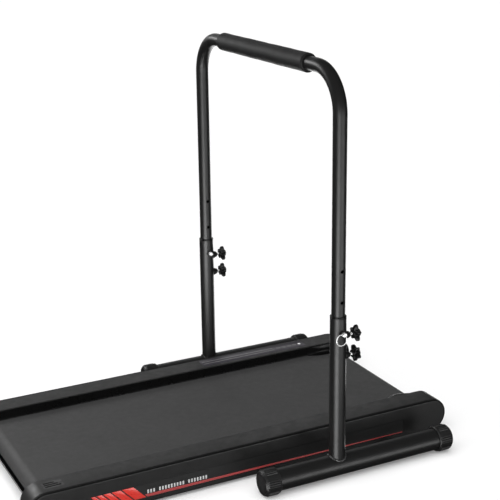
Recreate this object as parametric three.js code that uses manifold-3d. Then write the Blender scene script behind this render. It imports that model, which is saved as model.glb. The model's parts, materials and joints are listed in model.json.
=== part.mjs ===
// A low walking pad (belt deck) standing inside a free-standing, height-adjustable handrail.
// Units are millimetres. X runs along the deck, Y across it, +Z is up, and the floor is z = 0.
// "near" is the -Y side and "far" is the +Y side; "front" is the +X end and "rear" the -X end.
import * as THREE from 'three';
import { mergeVertices } from 'three/addons/utils/BufferGeometryUtils.js';
import Module from 'manifold-3d';

const wasm = await Module();
wasm.setup();

// ---- Driving dimensions ----------------------------------------------------------------------

const GAP = 0.3; // clearance kept between touching pieces

// Deck
const DECK_LENGTH = 1090;
const DECK_WIDTH = 526;
const DECK_TOP = 90; // top of the side rails
const DECK_BOTTOM = 5; // underside of the pan
const PLASTIC_WALL = 3;
const RAIL_TOP_WIDTH = 58;
const GROOVE = 2.5; // shadow gap between a rail cover and its side panel
const END_RADIUS = (DECK_TOP - DECK_BOTTOM) / 2;
const END_CENTRE_X = DECK_LENGTH / 2 - END_RADIUS;
const END_CENTRE_Z = DECK_BOTTOM + END_RADIUS;
const RAIL_OUTER = DECK_WIDTH / 2;
const RAIL_INNER = RAIL_OUTER - RAIL_TOP_WIDTH;

// Belt and rollers
const BELT_WIDTH = 386;
const BELT_THICKNESS = 2;
const ROLLER_RADIUS = 23;
const ROLLER_X = 486;
const ROLLER_Z = 41;
const ROLLER_HALF = 196;
const AXLE_RADIUS = 8;
const BELT_INNER_RADIUS = ROLLER_RADIUS + 0.4;
const BELT_OUTER_RADIUS = BELT_INNER_RADIUS + BELT_THICKNESS;
const BELT_TOP = ROLLER_Z + BELT_OUTER_RADIUS;

// Deck structure
const BOARD_THICKNESS = 12;
const BOARD_LENGTH = 900;
const BOARD_TOP = ROLLER_Z + BELT_INNER_RADIUS - 0.7;
const BOARD_BOTTOM = BOARD_TOP - BOARD_THICKNESS;
const BEAM_INNER = 212;
const BEAM_OUTER = 232;
const BEAM_LOW = 24;
const BEAM_HIGH = 60;
const CROSS_X = 300;
const CROSS_WIDTH = 40;
const CROSS_LOW = 28;
const CROSS_HIGH = 44;
const PAN_HALF_LENGTH = 445;
const FOOT_PAD_X = 425;
const WHEEL_X = 480;
const WHEEL_Z = 17;
const WHEEL_RADIUS = 15;

// Decoration and controls
const BAND_LOW = 20;
const BAND_HIGH = 54;
const BAND_REAR = -410;
const BAND_FRONT = 418;
const STRIPE = {
  line: 5, tip: 1.5, blocks: 5, front: -274, widest: 27, shrink: 0.77, spacing: 3.5, slant: 25,
};
const PANEL_SCREEN = { from: 92, to: 410, inner: 210, outer: 250 };
const INLET = { x: 400, z: 47, width: 28, height: 22 };
const SWITCH = { x: 350, z: 47, width: 13, height: 21 };
const SWITCH_CLEARANCE = 2.2; // room for the rocker's corner to swing out of its hole

// Handrail
const UPRIGHT_X = 172;
const UPRIGHT_Y = 350;
const TUBE_RADIUS = 16;
const TUBE_WALL = 1.5;
const SLEEVE_RADIUS = 19;
const SLEEVE_BORE = 17;
const SLEEVE_TOP = 400;
const BAR_Z = 955;
const BEND_RADIUS = 95;
const TUBE_END_Z = 235;
const GRIP_RADIUS = 22;
const GRIP_HALF = 217;
const HOLE_RADIUS = 4.2;
const HOLE_HEIGHTS = [365, 438, 511];
const PIN_Z = HOLE_HEIGHTS[0];
const PIN_REACH = 32;
const PIN_BOSS_TIP = 24.5;
const KNOB_HEIGHTS = { upper: 353, lower: 304 };
const FOOT_RADIUS = 26;
const FOOT_WALL = 2;
const CAP_RADIUS = 32;
const CAP_LENGTH = 38;
const CAP_FLOOR = 8;
const FOOT_REAR = -27;
const FOOT_FRONT = 486;
const STRAP_POSITIONS = { rear: 45, front: 380 };

// ---- Materials -------------------------------------------------------------------------------

const material = (color, roughness, metalness = 0) =>
  new THREE.MeshStandardMaterial({ color, roughness, metalness });

const railPlastic = material(0x343434, 0.5);
const panelPlastic = material(0x2a2a2a, 0.5);
const guardPlastic = material(0x0c0c0c, 0.35);
const pvcBelt = material(0x3f3f3f, 0.85);
const tubePaint = material(0x262626, 0.4, 0.3);
const framePaint = material(0x303030, 0.5, 0.3);
const foam = material(0x2c2c2c, 0.9);
const knobPlastic = material(0x101010, 0.45);
const redVinyl = material(0xd23228, 0.5);
const screenGloss = material(0x141416, 0.15);
const brightSteel = material(0xc8c8c8, 0.25, 1);
const rubber = material(0x181818, 0.9);
const boardLaminate = material(0x6b5a45, 0.7);
const blackBox = material(0x1c1c1c, 0.6);

// ---- Solids ----------------------------------------------------------------------------------

// A closed, position-only copy of a geometry, without the slivers that seams leave.
function closed(geometry) {
  const bare = geometry.clone();
  bare.deleteAttribute('normal');
  bare.deleteAttribute('uv');
  const merged = mergeVertices(bare, 1e-3);
  const index = merged.index.array;
  const kept = [];
  for (let i = 0; i < index.length; i += 3) {
    const [a, b, c] = index.slice(i, i + 3);
    if (a !== b && b !== c && c !== a) kept.push(a, b, c);
  }
  merged.setIndex(signedVolume(merged, kept) < 0 ? kept.reverse() : kept);
  return merged;
}

function signedVolume(geometry, index) {
  const corner = (i) => new THREE.Vector3().fromBufferAttribute(geometry.attributes.position, i);
  let volume = 0;
  for (let i = 0; i < index.length; i += 3) {
    const cross = corner(index[i + 1]).cross(corner(index[i + 2]));
    volume += corner(index[i]).dot(cross) / 6;
  }
  return volume;
}

function toSolid(geometry) {
  const mesh = closed(geometry);
  return new wasm.Manifold(new wasm.Mesh({
    numProp: 3,
    vertProperties: new Float32Array(mesh.attributes.position.array),
    triVerts: new Uint32Array(mesh.index.array),
  }));
}

function toGeometry(solid) {
  const mesh = solid.getMesh();
  const geometry = new THREE.BufferGeometry();
  geometry.setAttribute('position', new THREE.BufferAttribute(mesh.vertProperties, 3));
  geometry.setIndex(new THREE.BufferAttribute(mesh.triVerts, 1));
  return geometry;
}

function unite(...pieces) {
  return toGeometry(pieces.map(toSolid).reduce((whole, piece) => whole.add(piece)));
}

function cut(body, ...tools) {
  return toGeometry(tools.map(toSolid).reduce((whole, tool) => whole.subtract(tool), toSolid(body)));
}

// ---- Shape helpers ---------------------------------------------------------------------------

function box(x, y, z) {
  const span = ([a, b]) => Math.abs(b - a);
  const middle = ([a, b]) => (a + b) / 2;
  return new THREE.BoxGeometry(span(x), span(y), span(z)).translate(middle(x), middle(y), middle(z));
}

// A round bar between two stations of one axis; rTo makes it a cone.
function bar(axis, [from, to], radius, { sides = 20, rTo = radius, at = [0, 0, 0] } = {}) {
  const geometry = new THREE.CylinderGeometry(rTo, radius, to - from, sides);
  geometry.translate(0, (from + to) / 2, 0);
  if (axis === 'x') geometry.rotateZ(-Math.PI / 2);
  if (axis === 'z') geometry.rotateX(Math.PI / 2);
  return geometry.translate(...at);
}

// A turned piece about the Y axis from [radius, y] pairs; closes the profile when asked.
function turnedAlongY(profile, { sides = 24, loop = false, at = [0, 0, 0] } = {}) {
  const points = profile.map(([r, y]) => new THREE.Vector2(r, y));
  if (loop) points.push(points[0].clone());
  return new THREE.LatheGeometry(points, sides).translate(...at);
}

// Extrudes an (x, z) outline across the deck, over the span y.
function acrossDeck(shape, y, curveSegments = 6) {
  const [low, high] = [Math.min(...y), Math.max(...y)];
  const options = { depth: high - low, bevelEnabled: false, curveSegments };
  return new THREE.ExtrudeGeometry(shape, options).rotateX(Math.PI / 2).translate(0, high, 0);
}

// Extrudes a (y, z) outline along the deck, over the span x.
function alongDeck(shape, [low, high], curveSegments = 6) {
  const options = { depth: high - low, bevelEnabled: false, curveSegments };
  const turn = new THREE.Matrix4().makeBasis(
    new THREE.Vector3(0, 1, 0), new THREE.Vector3(0, 0, 1), new THREE.Vector3(1, 0, 0));
  return new THREE.ExtrudeGeometry(shape, options).applyMatrix4(turn).translate(low, 0, 0);
}

function outline(points) {
  return new THREE.Shape(points.map(([u, v]) => new THREE.Vector2(u, v)));
}

// A slot-shaped (x, z) outline: two half circles joined by straight sides.
function stadium(centreX, centreZ, radius) {
  const shape = new THREE.Shape();
  shape.absarc(centreX, centreZ, radius, -Math.PI / 2, Math.PI / 2, false);
  shape.absarc(-centreX, centreZ, radius, Math.PI / 2, Math.PI * 1.5, false);
  shape.closePath();
  return shape;
}

function annulus(outer, inner) {
  const shape = new THREE.Shape().absarc(0, 0, outer, 0, Math.PI * 2, false);
  shape.holes.push(new THREE.Path().absarc(0, 0, inner, 0, Math.PI * 2, true));
  return shape;
}

// A path through given stations, so that straight runs need no steps of their own.
class StationPath extends THREE.Curve {
  constructor(stations) {
    super();
    this.stations = stations;
  }

  getPoint(t, target = new THREE.Vector3()) {
    const place = t * (this.stations.length - 1);
    const first = Math.min(Math.floor(place), this.stations.length - 2);
    return target.lerpVectors(this.stations[first], this.stations[first + 1], place - first);
  }

  getUtoTmapping(u) {
    return u;
  }
}

// ---- The scene graph -------------------------------------------------------------------------

const group = new THREE.Group();
const SIDES = [{ name: 'near', sign: -1 }, { name: 'far', sign: 1 }];
const ENDS = [{ name: 'rear', sign: -1 }, { name: 'front', sign: 1 }];

function add(name, geometry, look) {
  const mesh = new THREE.Mesh(closed(geometry), look);
  mesh.geometry.computeVertexNormals();
  mesh.name = name;
  group.add(mesh);
}

// ---- Deck: belt, board and rollers -----------------------------------------------------------

function walkingBelt() {
  const shape = stadium(ROLLER_X, ROLLER_Z, BELT_OUTER_RADIUS);
  shape.holes.push(new THREE.Path(stadium(ROLLER_X, ROLLER_Z, BELT_INNER_RADIUS).getPoints(6).reverse()));
  return acrossDeck(shape, [-BELT_WIDTH / 2, BELT_WIDTH / 2]);
}

function rollerTube(boreRadius, x) {
  const wall = 2.5;
  const disc = 12;
  return turnedAlongY([
    [boreRadius, -ROLLER_HALF], [ROLLER_RADIUS, -ROLLER_HALF], [ROLLER_RADIUS, ROLLER_HALF],
    [boreRadius, ROLLER_HALF], [boreRadius, ROLLER_HALF - disc], [ROLLER_RADIUS - wall, ROLLER_HALF - disc],
    [ROLLER_RADIUS - wall, disc - ROLLER_HALF], [boreRadius, disc - ROLLER_HALF],
  ], { loop: true, at: [x, 0, ROLLER_Z] });
}

function axle(x, swelling) {
  const reach = BEAM_OUTER - 1;
  return turnedAlongY([[0, -reach], [AXLE_RADIUS, -reach], ...swelling, [AXLE_RADIUS, reach], [0, reach]],
    { at: [x, 0, ROLLER_Z] });
}

const BEARING_RADIUS = 12.5;
const STATOR_RADIUS = 17;
const STATOR_HALF = 90;
const stator = [
  [AXLE_RADIUS, -STATOR_HALF], [STATOR_RADIUS, -STATOR_HALF], [STATOR_RADIUS, STATOR_HALF],
  [AXLE_RADIUS, STATOR_HALF],
];

add('walking_belt', walkingBelt(), pvcBelt);
const boardSpan = [-BOARD_LENGTH / 2, BOARD_LENGTH / 2];
add('running_board', box(boardSpan, [-186, 186], [BOARD_BOTTOM, BOARD_TOP]), boardLaminate);
add('front_roller', rollerTube(AXLE_RADIUS + 0.5, ROLLER_X), brightSteel);
add('drum_motor_stator', axle(ROLLER_X, stator), framePaint);
add('rear_roller', rollerTube(BEARING_RADIUS + 0.4, -ROLLER_X), brightSteel);
add('rear_axle', axle(-ROLLER_X, []), brightSteel);

for (const { name, sign } of SIDES) {
  const [low, high] = [sign * (ROLLER_HALF - 11), sign * (ROLLER_HALF - 1)].sort((a, b) => a - b);
  const inner = AXLE_RADIUS + GAP;
  add(`rear_bearing_${name}`, turnedAlongY([
    [inner, low], [BEARING_RADIUS, low], [BEARING_RADIUS, high], [inner, high],
  ], { loop: true, at: [-ROLLER_X, 0, ROLLER_Z] }), brightSteel);
}

// ---- Deck: steel structure -------------------------------------------------------------------

const BEAM_HALF_LENGTH = 515;
const TUBE_SKIN = 2;

function axleHoles(radius, y) {
  return ENDS.map(({ sign }) => bar('y', y, radius, { at: [sign * ROLLER_X, 0, ROLLER_Z] }));
}

function sideBeam(sign) {
  const y = [sign * BEAM_INNER, sign * BEAM_OUTER];
  const core = [sign * (BEAM_INNER + TUBE_SKIN), sign * (BEAM_OUTER - TUBE_SKIN)];
  return cut(
    box([-BEAM_HALF_LENGTH, BEAM_HALF_LENGTH], y, [BEAM_LOW, BEAM_HIGH]),
    box([-BEAM_HALF_LENGTH - 1, BEAM_HALF_LENGTH + 1], core, [BEAM_LOW + TUBE_SKIN, BEAM_HIGH - TUBE_SKIN]),
    ...axleHoles(AXLE_RADIUS + 0.5, [-BEAM_OUTER - 1, BEAM_OUTER + 1]),
  );
}

function crossMember(x) {
  const half = CROSS_WIDTH / 2;
  const reach = BEAM_INNER - GAP;
  return cut(
    box([x - half, x + half], [-reach, reach], [CROSS_LOW, CROSS_HIGH]),
    box([x - half + TUBE_SKIN, x + half - TUBE_SKIN], [-BEAM_INNER, BEAM_INNER],
      [CROSS_LOW + TUBE_SKIN, CROSS_HIGH - TUBE_SKIN]),
  );
}

for (const { name, sign } of SIDES) add(`side_beam_${name}`, sideBeam(sign), framePaint);
for (const { name, sign } of ENDS) {
  const x = sign * CROSS_X;
  add(`cross_member_${name}`, crossMember(x), framePaint);
  const cushion = box([x - 14, x + 14], [-180, 180], [CROSS_HIGH + GAP, BOARD_BOTTOM - GAP]);
  add(`board_cushion_${name}`, cushion, rubber);
}

// ---- Deck: plastic shells --------------------------------------------------------------------

// Covers a rail's top and wraps down round both ends; open below.
function railCover(sign) {
  const foot = THREE.MathUtils.degToRad(50);
  const inner = END_RADIUS - PLASTIC_WALL;
  const shape = new THREE.Shape();
  shape.absarc(END_CENTRE_X, END_CENTRE_Z, END_RADIUS, -foot, Math.PI / 2, false);
  shape.absarc(-END_CENTRE_X, END_CENTRE_Z, END_RADIUS, Math.PI / 2, Math.PI + foot, false);
  shape.absarc(-END_CENTRE_X, END_CENTRE_Z, inner, Math.PI + foot, Math.PI / 2, true);
  shape.absarc(END_CENTRE_X, END_CENTRE_Z, inner, Math.PI / 2, -foot, true);
  shape.closePath();
  const y = [sign * RAIL_INNER, sign * (RAIL_OUTER - PLASTIC_WALL - GROOVE)];
  return acrossDeck(shape, y);
}

function screenPocket(margin, floor) {
  const { from, to, inner, outer } = PANEL_SCREEN;
  const across = [inner - margin, outer + margin];
  return box([from - margin, to + margin], across, [DECK_TOP - floor, DECK_TOP + 1]);
}

// Stadium plate with a sunk band and a lip that enters the rail cover.
function sidePanel(sign) {
  const lipOuter = END_RADIUS - PLASTIC_WALL - 0.6;
  const lip = stadium(END_CENTRE_X, END_CENTRE_Z, lipOuter);
  const hollow = stadium(END_CENTRE_X, END_CENTRE_Z, lipOuter - PLASTIC_WALL);
  lip.holes.push(new THREE.Path(hollow.getPoints(6).reverse()));
  const plate = stadium(END_CENTRE_X, END_CENTRE_Z, END_RADIUS);
  const bandFloor = RAIL_OUTER - 1.2;
  return cut(
    unite(
      acrossDeck(plate, [sign * (RAIL_OUTER - PLASTIC_WALL), sign * RAIL_OUTER]),
      acrossDeck(lip, [sign * (RAIL_OUTER - 11), sign * (RAIL_OUTER - 2)]),
    ),
    box([BAND_REAR, BAND_FRONT], [sign * bandFloor, sign * (RAIL_OUTER + 1)], [BAND_LOW, BAND_HIGH]),
  );
}

function fittingHole({ x, z, width, height }, margin) {
  return box([x - width / 2 - margin, x + width / 2 + margin], [RAIL_OUTER - 20, RAIL_OUTER + 2],
    [z - height / 2 - margin, z + height / 2 + margin]);
}

// A red line along the band's foot with slanted blocks, ever narrower, standing on its rear end.
function accentStripe(sign) {
  const low = BAND_LOW + 1;
  const high = BAND_HIGH - 1;
  const tip = BAND_FRONT - 3;
  const lineTop = low + STRIPE.line;
  const points = [[tip, low], [tip, low + STRIPE.tip]];
  let x = STRIPE.front;
  let width = STRIPE.widest;
  for (let block = 0; block < STRIPE.blocks; block += 1) {
    const rear = x - width;
    points.push([x, lineTop], [x - STRIPE.slant, high], [rear - STRIPE.slant, high], [rear, lineTop]);
    x = rear - STRIPE.spacing;
    width *= STRIPE.shrink;
  }
  points.push([x + STRIPE.spacing, low]);
  return acrossDeck(outline(points), [sign * (RAIL_OUTER - 0.9), sign * (RAIL_OUTER - 0.1)]);
}

const LOBE_X = 452;

// Closes a rail's inner side, slopes down to the belt and swells over the front roller.
function beltGuard(sign) {
  const plate = [sign * 200, sign * (RAIL_INNER - GAP)];
  const reach = [sign * 190, sign * 210];
  const foot = BELT_TOP + 0.5;
  const strip = outline([
    [sign * (RAIL_INNER - GAP), foot], [sign * (RAIL_INNER - 15.5), foot],
    [sign * (RAIL_INNER - 14.5), foot + 3], [sign * (RAIL_INNER - 3), DECK_TOP - GAP],
    [sign * (RAIL_INNER - GAP), DECK_TOP - GAP],
  ]);
  const lobe = new THREE.CylinderGeometry(46, 50, 17, 28).rotateX(Math.PI / 2);
  lobe.scale(1, 0.55, 1).translate(LOBE_X, sign * (RAIL_INNER - 3), foot + 8.5);
  const trim = box([-600, 600], [sign * (RAIL_INNER - GAP), sign * 260], [0, 100]);
  const cross = ENDS.map(({ sign: end }) => box(
    [end * CROSS_X - CROSS_WIDTH / 2 - GAP, end * CROSS_X + CROSS_WIDTH / 2 + GAP],
    reach, [CROSS_LOW - GAP, CROSS_HIGH + GAP]));
  return cut(
    unite(
      acrossDeck(stadium(END_CENTRE_X, END_CENTRE_Z, END_RADIUS - GAP), plate),
      alongDeck(strip, [-ROLLER_X - 5, ROLLER_X + 5]),
      lobe,
    ),
    trim, ...cross,
    ...axleHoles(AXLE_RADIUS + 1, [-210, 210]),
    box([-PAN_HALF_LENGTH - 2, PAN_HALF_LENGTH + 2], reach, [0, DECK_BOTTOM + PLASTIC_WALL + GAP]),
  );
}

// Flat under the rails, curled up round the belt at both ends.
function bottomPan() {
  const outer = ROLLER_Z - DECK_BOTTOM;
  const inner = outer - PLASTIC_WALL;
  const curl = THREE.MathUtils.degToRad(-25);
  const shape = new THREE.Shape();
  shape.absarc(ROLLER_X, ROLLER_Z, outer, -Math.PI / 2, curl, false);
  shape.absarc(ROLLER_X, ROLLER_Z, inner, curl, -Math.PI / 2, true);
  shape.absarc(-ROLLER_X, ROLLER_Z, inner, -Math.PI / 2, Math.PI - curl, true);
  shape.absarc(-ROLLER_X, ROLLER_Z, outer, Math.PI - curl, Math.PI * 1.5, false);
  shape.closePath();
  const reach = RAIL_OUTER - PLASTIC_WALL - GROOVE - 0.5;
  return unite(
    acrossDeck(shape, [-199, 199]),
    box([-PAN_HALF_LENGTH, PAN_HALF_LENGTH], [-reach, reach], [DECK_BOTTOM, DECK_BOTTOM + PLASTIC_WALL]),
  );
}

for (const { name, sign } of SIDES) {
  const isFar = sign > 0;
  const cover = railCover(sign);
  const panel = sidePanel(sign);
  add(`rail_cover_${name}`, isFar ? cut(cover, screenPocket(GAP, 1.2)) : cover, railPlastic);
  const fittings = [fittingHole(INLET, GAP), fittingHole(SWITCH, SWITCH_CLEARANCE)];
  add(`side_panel_${name}`, isFar ? cut(panel, ...fittings) : panel, panelPlastic);
  add(`accent_stripe_${name}`, accentStripe(sign), redVinyl);
  add(`belt_guard_${name}`, beltGuard(sign), guardPlastic);
}
add('bottom_pan', bottomPan(), panelPlastic);

// ---- Deck: controls and drive parts ----------------------------------------------------------

const SWITCH_PIVOT_Y = RAIL_OUTER - 6;

function touchPanel() {
  const { from, to, inner, outer } = PANEL_SCREEN;
  return box([from, to], [inner, outer], [DECK_TOP - 0.9, DECK_TOP + 0.2]);
}

// Three-pin inlet: a flanged body with a mouth that a lead's connector enters.
function powerInlet() {
  const { x, z, width, height } = INLET;
  const tall = [z - height / 2, z + height / 2];
  const body = box([x - width / 2, x + width / 2], [RAIL_OUTER - 22, RAIL_OUTER + 0.5], tall);
  const mouth = box([x - 11, x + 11], [RAIL_OUTER - 18, RAIL_OUTER + 2], [z - 7, z + 7]);
  const blades = [-6, 0, 6].map((step) =>
    box([x + step - 1, x + step + 1], [RAIL_OUTER - 19, RAIL_OUTER - 5], [z - 2.5, z + 2.5]));
  return unite(cut(body, mouth), ...blades);
}

// Rocker whose two faces meet at an obtuse angle, on a pivot along Z.
function powerSwitch() {
  const { x, z, width, height } = SWITCH;
  const half = width / 2;
  const shape = outline([
    [x - half, SWITCH_PIVOT_Y - 2], [x + half, SWITCH_PIVOT_Y - 2], [x + half, SWITCH_PIVOT_Y + 5],
    [x, SWITCH_PIVOT_Y + 6], [x - half, SWITCH_PIVOT_Y + 8.5],
  ]);
  const geometry = new THREE.ExtrudeGeometry(shape, { depth: height, bevelEnabled: false });
  return geometry.translate(0, 0, z - height / 2);
}

const VIBRATOR = { x: -165, z: 37, radius: 12, length: 64 };

function vibrationMotor() {
  const { x, z, radius, length } = VIBRATOR;
  return cut(
    unite(
      bar('y', [-length, 0], radius, { at: [x, 0, z] }),
      box([x - 10, x + 10], [-length + 8, -8], [z, BOARD_BOTTOM - GAP]),
    ),
    bar('y', [-12, 1], 2.6, { sides: 12, at: [x, 0, z] }),
  );
}

function eccentricWeight() {
  const { x, z } = VIBRATOR;
  const half = new THREE.Shape().absarc(0, 0, 10.5, Math.PI, Math.PI * 2, false);
  half.closePath();
  const weight = acrossDeck(half, [3, 14]).translate(x, 0, z);
  return unite(weight, bar('y', [-10, 14], 2.2, { sides: 12, at: [x, 0, z] }));
}

function transportWheel(sign) {
  const y = [sign * 237, sign * 251].sort((a, b) => a - b);
  return turnedAlongY([
    [4.4, y[0]], [WHEEL_RADIUS - 1.5, y[0]], [WHEEL_RADIUS, y[0] + 2], [WHEEL_RADIUS, y[1] - 2],
    [WHEEL_RADIUS - 1.5, y[1]], [4.4, y[1]],
  ], { loop: true, at: [WHEEL_X, 0, WHEEL_Z] });
}

function wheelBracket(sign) {
  const axleSpan = [sign * 233, sign * 253].sort((a, b) => a - b);
  return unite(
    box([WHEEL_X - 14, WHEEL_X + 14], [sign * (BEAM_OUTER + GAP), sign * 236], [WHEEL_Z - 8, 44]),
    bar('y', axleSpan, 4, { sides: 16, at: [WHEEL_X, 0, WHEEL_Z] }),
  );
}

add('touch_panel', touchPanel(), screenGloss);
add('power_inlet', powerInlet(), blackBox);
add('power_switch', powerSwitch(), redVinyl);
add('control_box', box([60, 200], [-100, 60], [24, BOARD_BOTTOM - GAP]), blackBox);
add('vibration_motor', vibrationMotor(), framePaint);
add('eccentric_weight', eccentricWeight(), brightSteel);
for (const { name, sign } of SIDES) {
  add(`transport_wheel_${name}`, transportWheel(sign), rubber);
  add(`wheel_bracket_${name}`, wheelBracket(sign), framePaint);
  for (const { name: end, sign: endSign } of ENDS) {
    const at = [endSign * FOOT_PAD_X, sign * 232, 0];
    add(`deck_foot_${end}_${name}`, bar('z', [0, DECK_BOTTOM - GAP], 16, { at }), rubber);
  }
}

// ---- Handrail: feet --------------------------------------------------------------------------

function footTube(sign) {
  const inset = CAP_FLOOR + GAP;
  const [from, to] = [FOOT_REAR + inset, FOOT_FRONT - inset];
  return alongDeck(annulus(FOOT_RADIUS, FOOT_RADIUS - FOOT_WALL), [from, to])
    .translate(0, sign * UPRIGHT_Y, CAP_RADIUS);
}

// Cup over a foot tube's end, ribbed along its length, with one rib straight down.
function footCap(end, sign) {
  const ribs = 16;
  const valley = CAP_RADIUS - 2;
  const pitch = (Math.PI * 2) / ribs;
  const points = [];
  for (let rib = 0; rib < ribs; rib += 1) {
    const middle = rib * pitch - Math.PI / 2;
    for (const offset of [-0.36, -0.24, 0.24, 0.36]) {
      const radius = Math.abs(offset) > 0.3 ? valley : CAP_RADIUS;
      const angle = middle + offset * pitch;
      points.push([radius * Math.cos(angle), radius * Math.sin(angle)]);
    }
  }
  const x = end > 0 ? [FOOT_FRONT - CAP_LENGTH, FOOT_FRONT] : [FOOT_REAR, FOOT_REAR + CAP_LENGTH];
  const bore = end > 0 ? [x[0] - 1, FOOT_FRONT - CAP_FLOOR] : [FOOT_REAR + CAP_FLOOR, x[1] + 1];
  return cut(alongDeck(outline(points), x), bar('x', bore, FOOT_RADIUS + GAP, { sides: 24 }))
    .translate(0, sign * UPRIGHT_Y, CAP_RADIUS);
}

// Flat bar that ties the two feet together under the deck, its ends bent up to the tubes.
function crossStrap(x) {
  const low = 0.5;
  const thick = 3;
  const lift = CAP_RADIUS - FOOT_RADIUS - GAP - thick - low;
  const half = (z) => [[285, z], [300, z + lift], [UPRIGHT_Y, z + lift]];
  const profile = (z) => [...half(z).map(([y, height]) => [-y, height]).reverse(), ...half(z)];
  const shape = outline([...profile(low), ...profile(low + thick).reverse()]);
  return alongDeck(shape, [x - 20, x + 20]);
}

// ---- Handrail: uprights ----------------------------------------------------------------------

const BOSS_TIP = 30;

function sleeve(sign) {
  const centre = [UPRIGHT_X, sign * UPRIGHT_Y, 0];
  const knobAt = (z) => [UPRIGHT_X, sign * UPRIGHT_Y, z];
  const heights = Object.values(KNOB_HEIGHTS);
  const boss = (z) => bar('x', [SLEEVE_BORE, BOSS_TIP], 10, { rTo: 6.5, sides: 16, at: knobAt(z) });
  const tube = bar('z', [CAP_RADIUS, SLEEVE_TOP], SLEEVE_RADIUS, { sides: 24, at: centre });
  const pinBoss = bar('y', [-PIN_BOSS_TIP, -SLEEVE_BORE], 7.5, { sides: 16, at: knobAt(PIN_Z) });
  return cut(
    unite(tube, ...heights.map(boss), pinBoss),
    bar('z', [0, SLEEVE_TOP + 1], SLEEVE_BORE, { sides: 24, at: centre }),
    bar('x', [0, 400], FOOT_RADIUS + GAP, { sides: 24, at: [0, sign * UPRIGHT_Y, CAP_RADIUS] }),
    ...heights.map((z) => bar('x', [0, BOSS_TIP + 1], 3.7, { sides: 12, at: knobAt(z) })),
    bar('y', [-PIN_BOSS_TIP - 1, 0], 4.5, { sides: 12, at: knobAt(PIN_Z) }),
  );
}

// Plastic collar on the sleeve's rim, with a thin skirt round the sliding tube.
function sleeveBushing(sign) {
  const bore = TUBE_RADIUS + 0.25;
  const shape = [
    [bore, SLEEVE_TOP - 25], [SLEEVE_BORE - 0.35, SLEEVE_TOP - 25], [SLEEVE_BORE - 0.35, SLEEVE_TOP + GAP],
    [SLEEVE_RADIUS + 0.6, SLEEVE_TOP + GAP], [SLEEVE_RADIUS + 0.6, SLEEVE_TOP + 3], [bore, SLEEVE_TOP + 4],
  ];
  return turnedAlongY(shape, { loop: true }).rotateX(Math.PI / 2).translate(UPRIGHT_X, sign * UPRIGHT_Y, 0);
}

function handleStations() {
  const steps = 8;
  const stations = [new THREE.Vector3(UPRIGHT_X, -UPRIGHT_Y, TUBE_END_Z)];
  for (const side of [-1, 1]) {
    for (let i = 0; i <= steps; i += 1) {
      const swing = (Math.PI / 2) * (side < 0 ? i : steps - i) / steps;
      const y = side * (UPRIGHT_Y - BEND_RADIUS + BEND_RADIUS * Math.cos(swing));
      stations.push(new THREE.Vector3(UPRIGHT_X, y, BAR_Z - BEND_RADIUS + BEND_RADIUS * Math.sin(swing)));
    }
  }
  stations.push(new THREE.Vector3(UPRIGHT_X, UPRIGHT_Y, TUBE_END_Z));
  return stations;
}

function handleFrame() {
  const stations = handleStations();
  const tube = new THREE.ExtrudeGeometry(annulus(TUBE_RADIUS, TUBE_RADIUS - TUBE_WALL), {
    steps: stations.length - 1,
    curveSegments: 10,
    bevelEnabled: false,
    extrudePath: new StationPath(stations),
  });
  const reach = UPRIGHT_Y + TUBE_RADIUS + 1;
  const hole = (z) => bar('y', [-reach, reach], HOLE_RADIUS, { sides: 12, at: [UPRIGHT_X, 0, z] });
  return cut(tube, ...HOLE_HEIGHTS.map(hole));
}

function handleGrip() {
  const inner = TUBE_RADIUS + GAP;
  const round = 4;
  return turnedAlongY([
    [inner, -GRIP_HALF], [GRIP_RADIUS - round, -GRIP_HALF], [GRIP_RADIUS, round - GRIP_HALF],
    [GRIP_RADIUS, GRIP_HALF - round], [GRIP_RADIUS - round, GRIP_HALF], [inner, GRIP_HALF],
  ], { loop: true, at: [UPRIGHT_X, 0, BAR_Z] });
}

// Five-lobed clamp knob on a threaded stem that points at the sliding tube.
function starKnob(sign, z) {
  const lobes = 5;
  const steps = 40;
  const points = [];
  for (let i = 0; i < steps; i += 1) {
    const angle = (i / steps) * Math.PI * 2;
    const radius = 15.5 + 4.5 * Math.cos(lobes * angle);
    points.push([radius * Math.sin(angle), radius * Math.cos(angle)]);
  }
  return unite(
    alongDeck(outline(points), [40, 53]),
    bar('x', [37, 56], 9, { sides: 16 }),
    bar('x', [TUBE_RADIUS + 0.6, 38], 3.2, { sides: 10 }),
  ).translate(UPRIGHT_X, sign * UPRIGHT_Y, z);
}

// ---- Handrail: spring lock pins and the near pin's ring --------------------------------------

const RING_RADIUS = 13;
const RING_WIRE = 1.3;
const RING_HOLE_REACH = 28.5;
const RING_TILT = THREE.MathUtils.degToRad(35);

function lockPin() {
  const head = [-PIN_REACH, -PIN_BOSS_TIP - GAP];
  return unite(
    bar('y', head, 5.2, { sides: 16 }),
    bar('y', [-PIN_BOSS_TIP - 3, -TUBE_RADIUS - 0.6], 4, { sides: 16 }),
  );
}

// The near pin is turned in its boss so that its cross hole lines up with the skewed ring.
function ringedPin() {
  const hole = bar('x', [-8, 8], 2.7, { sides: 12, at: [0, -RING_HOLE_REACH, 0] });
  return cut(lockPin(), hole).rotateY(RING_TILT);
}

function pullRing() {
  const ring = new THREE.TorusGeometry(RING_RADIUS, RING_WIRE, 6, 24).rotateX(Math.PI / 2);
  return ring.translate(
    UPRIGHT_X - RING_RADIUS * Math.sin(RING_TILT),
    -UPRIGHT_Y - RING_HOLE_REACH,
    PIN_Z - RING_RADIUS * Math.cos(RING_TILT),
  );
}

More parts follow.
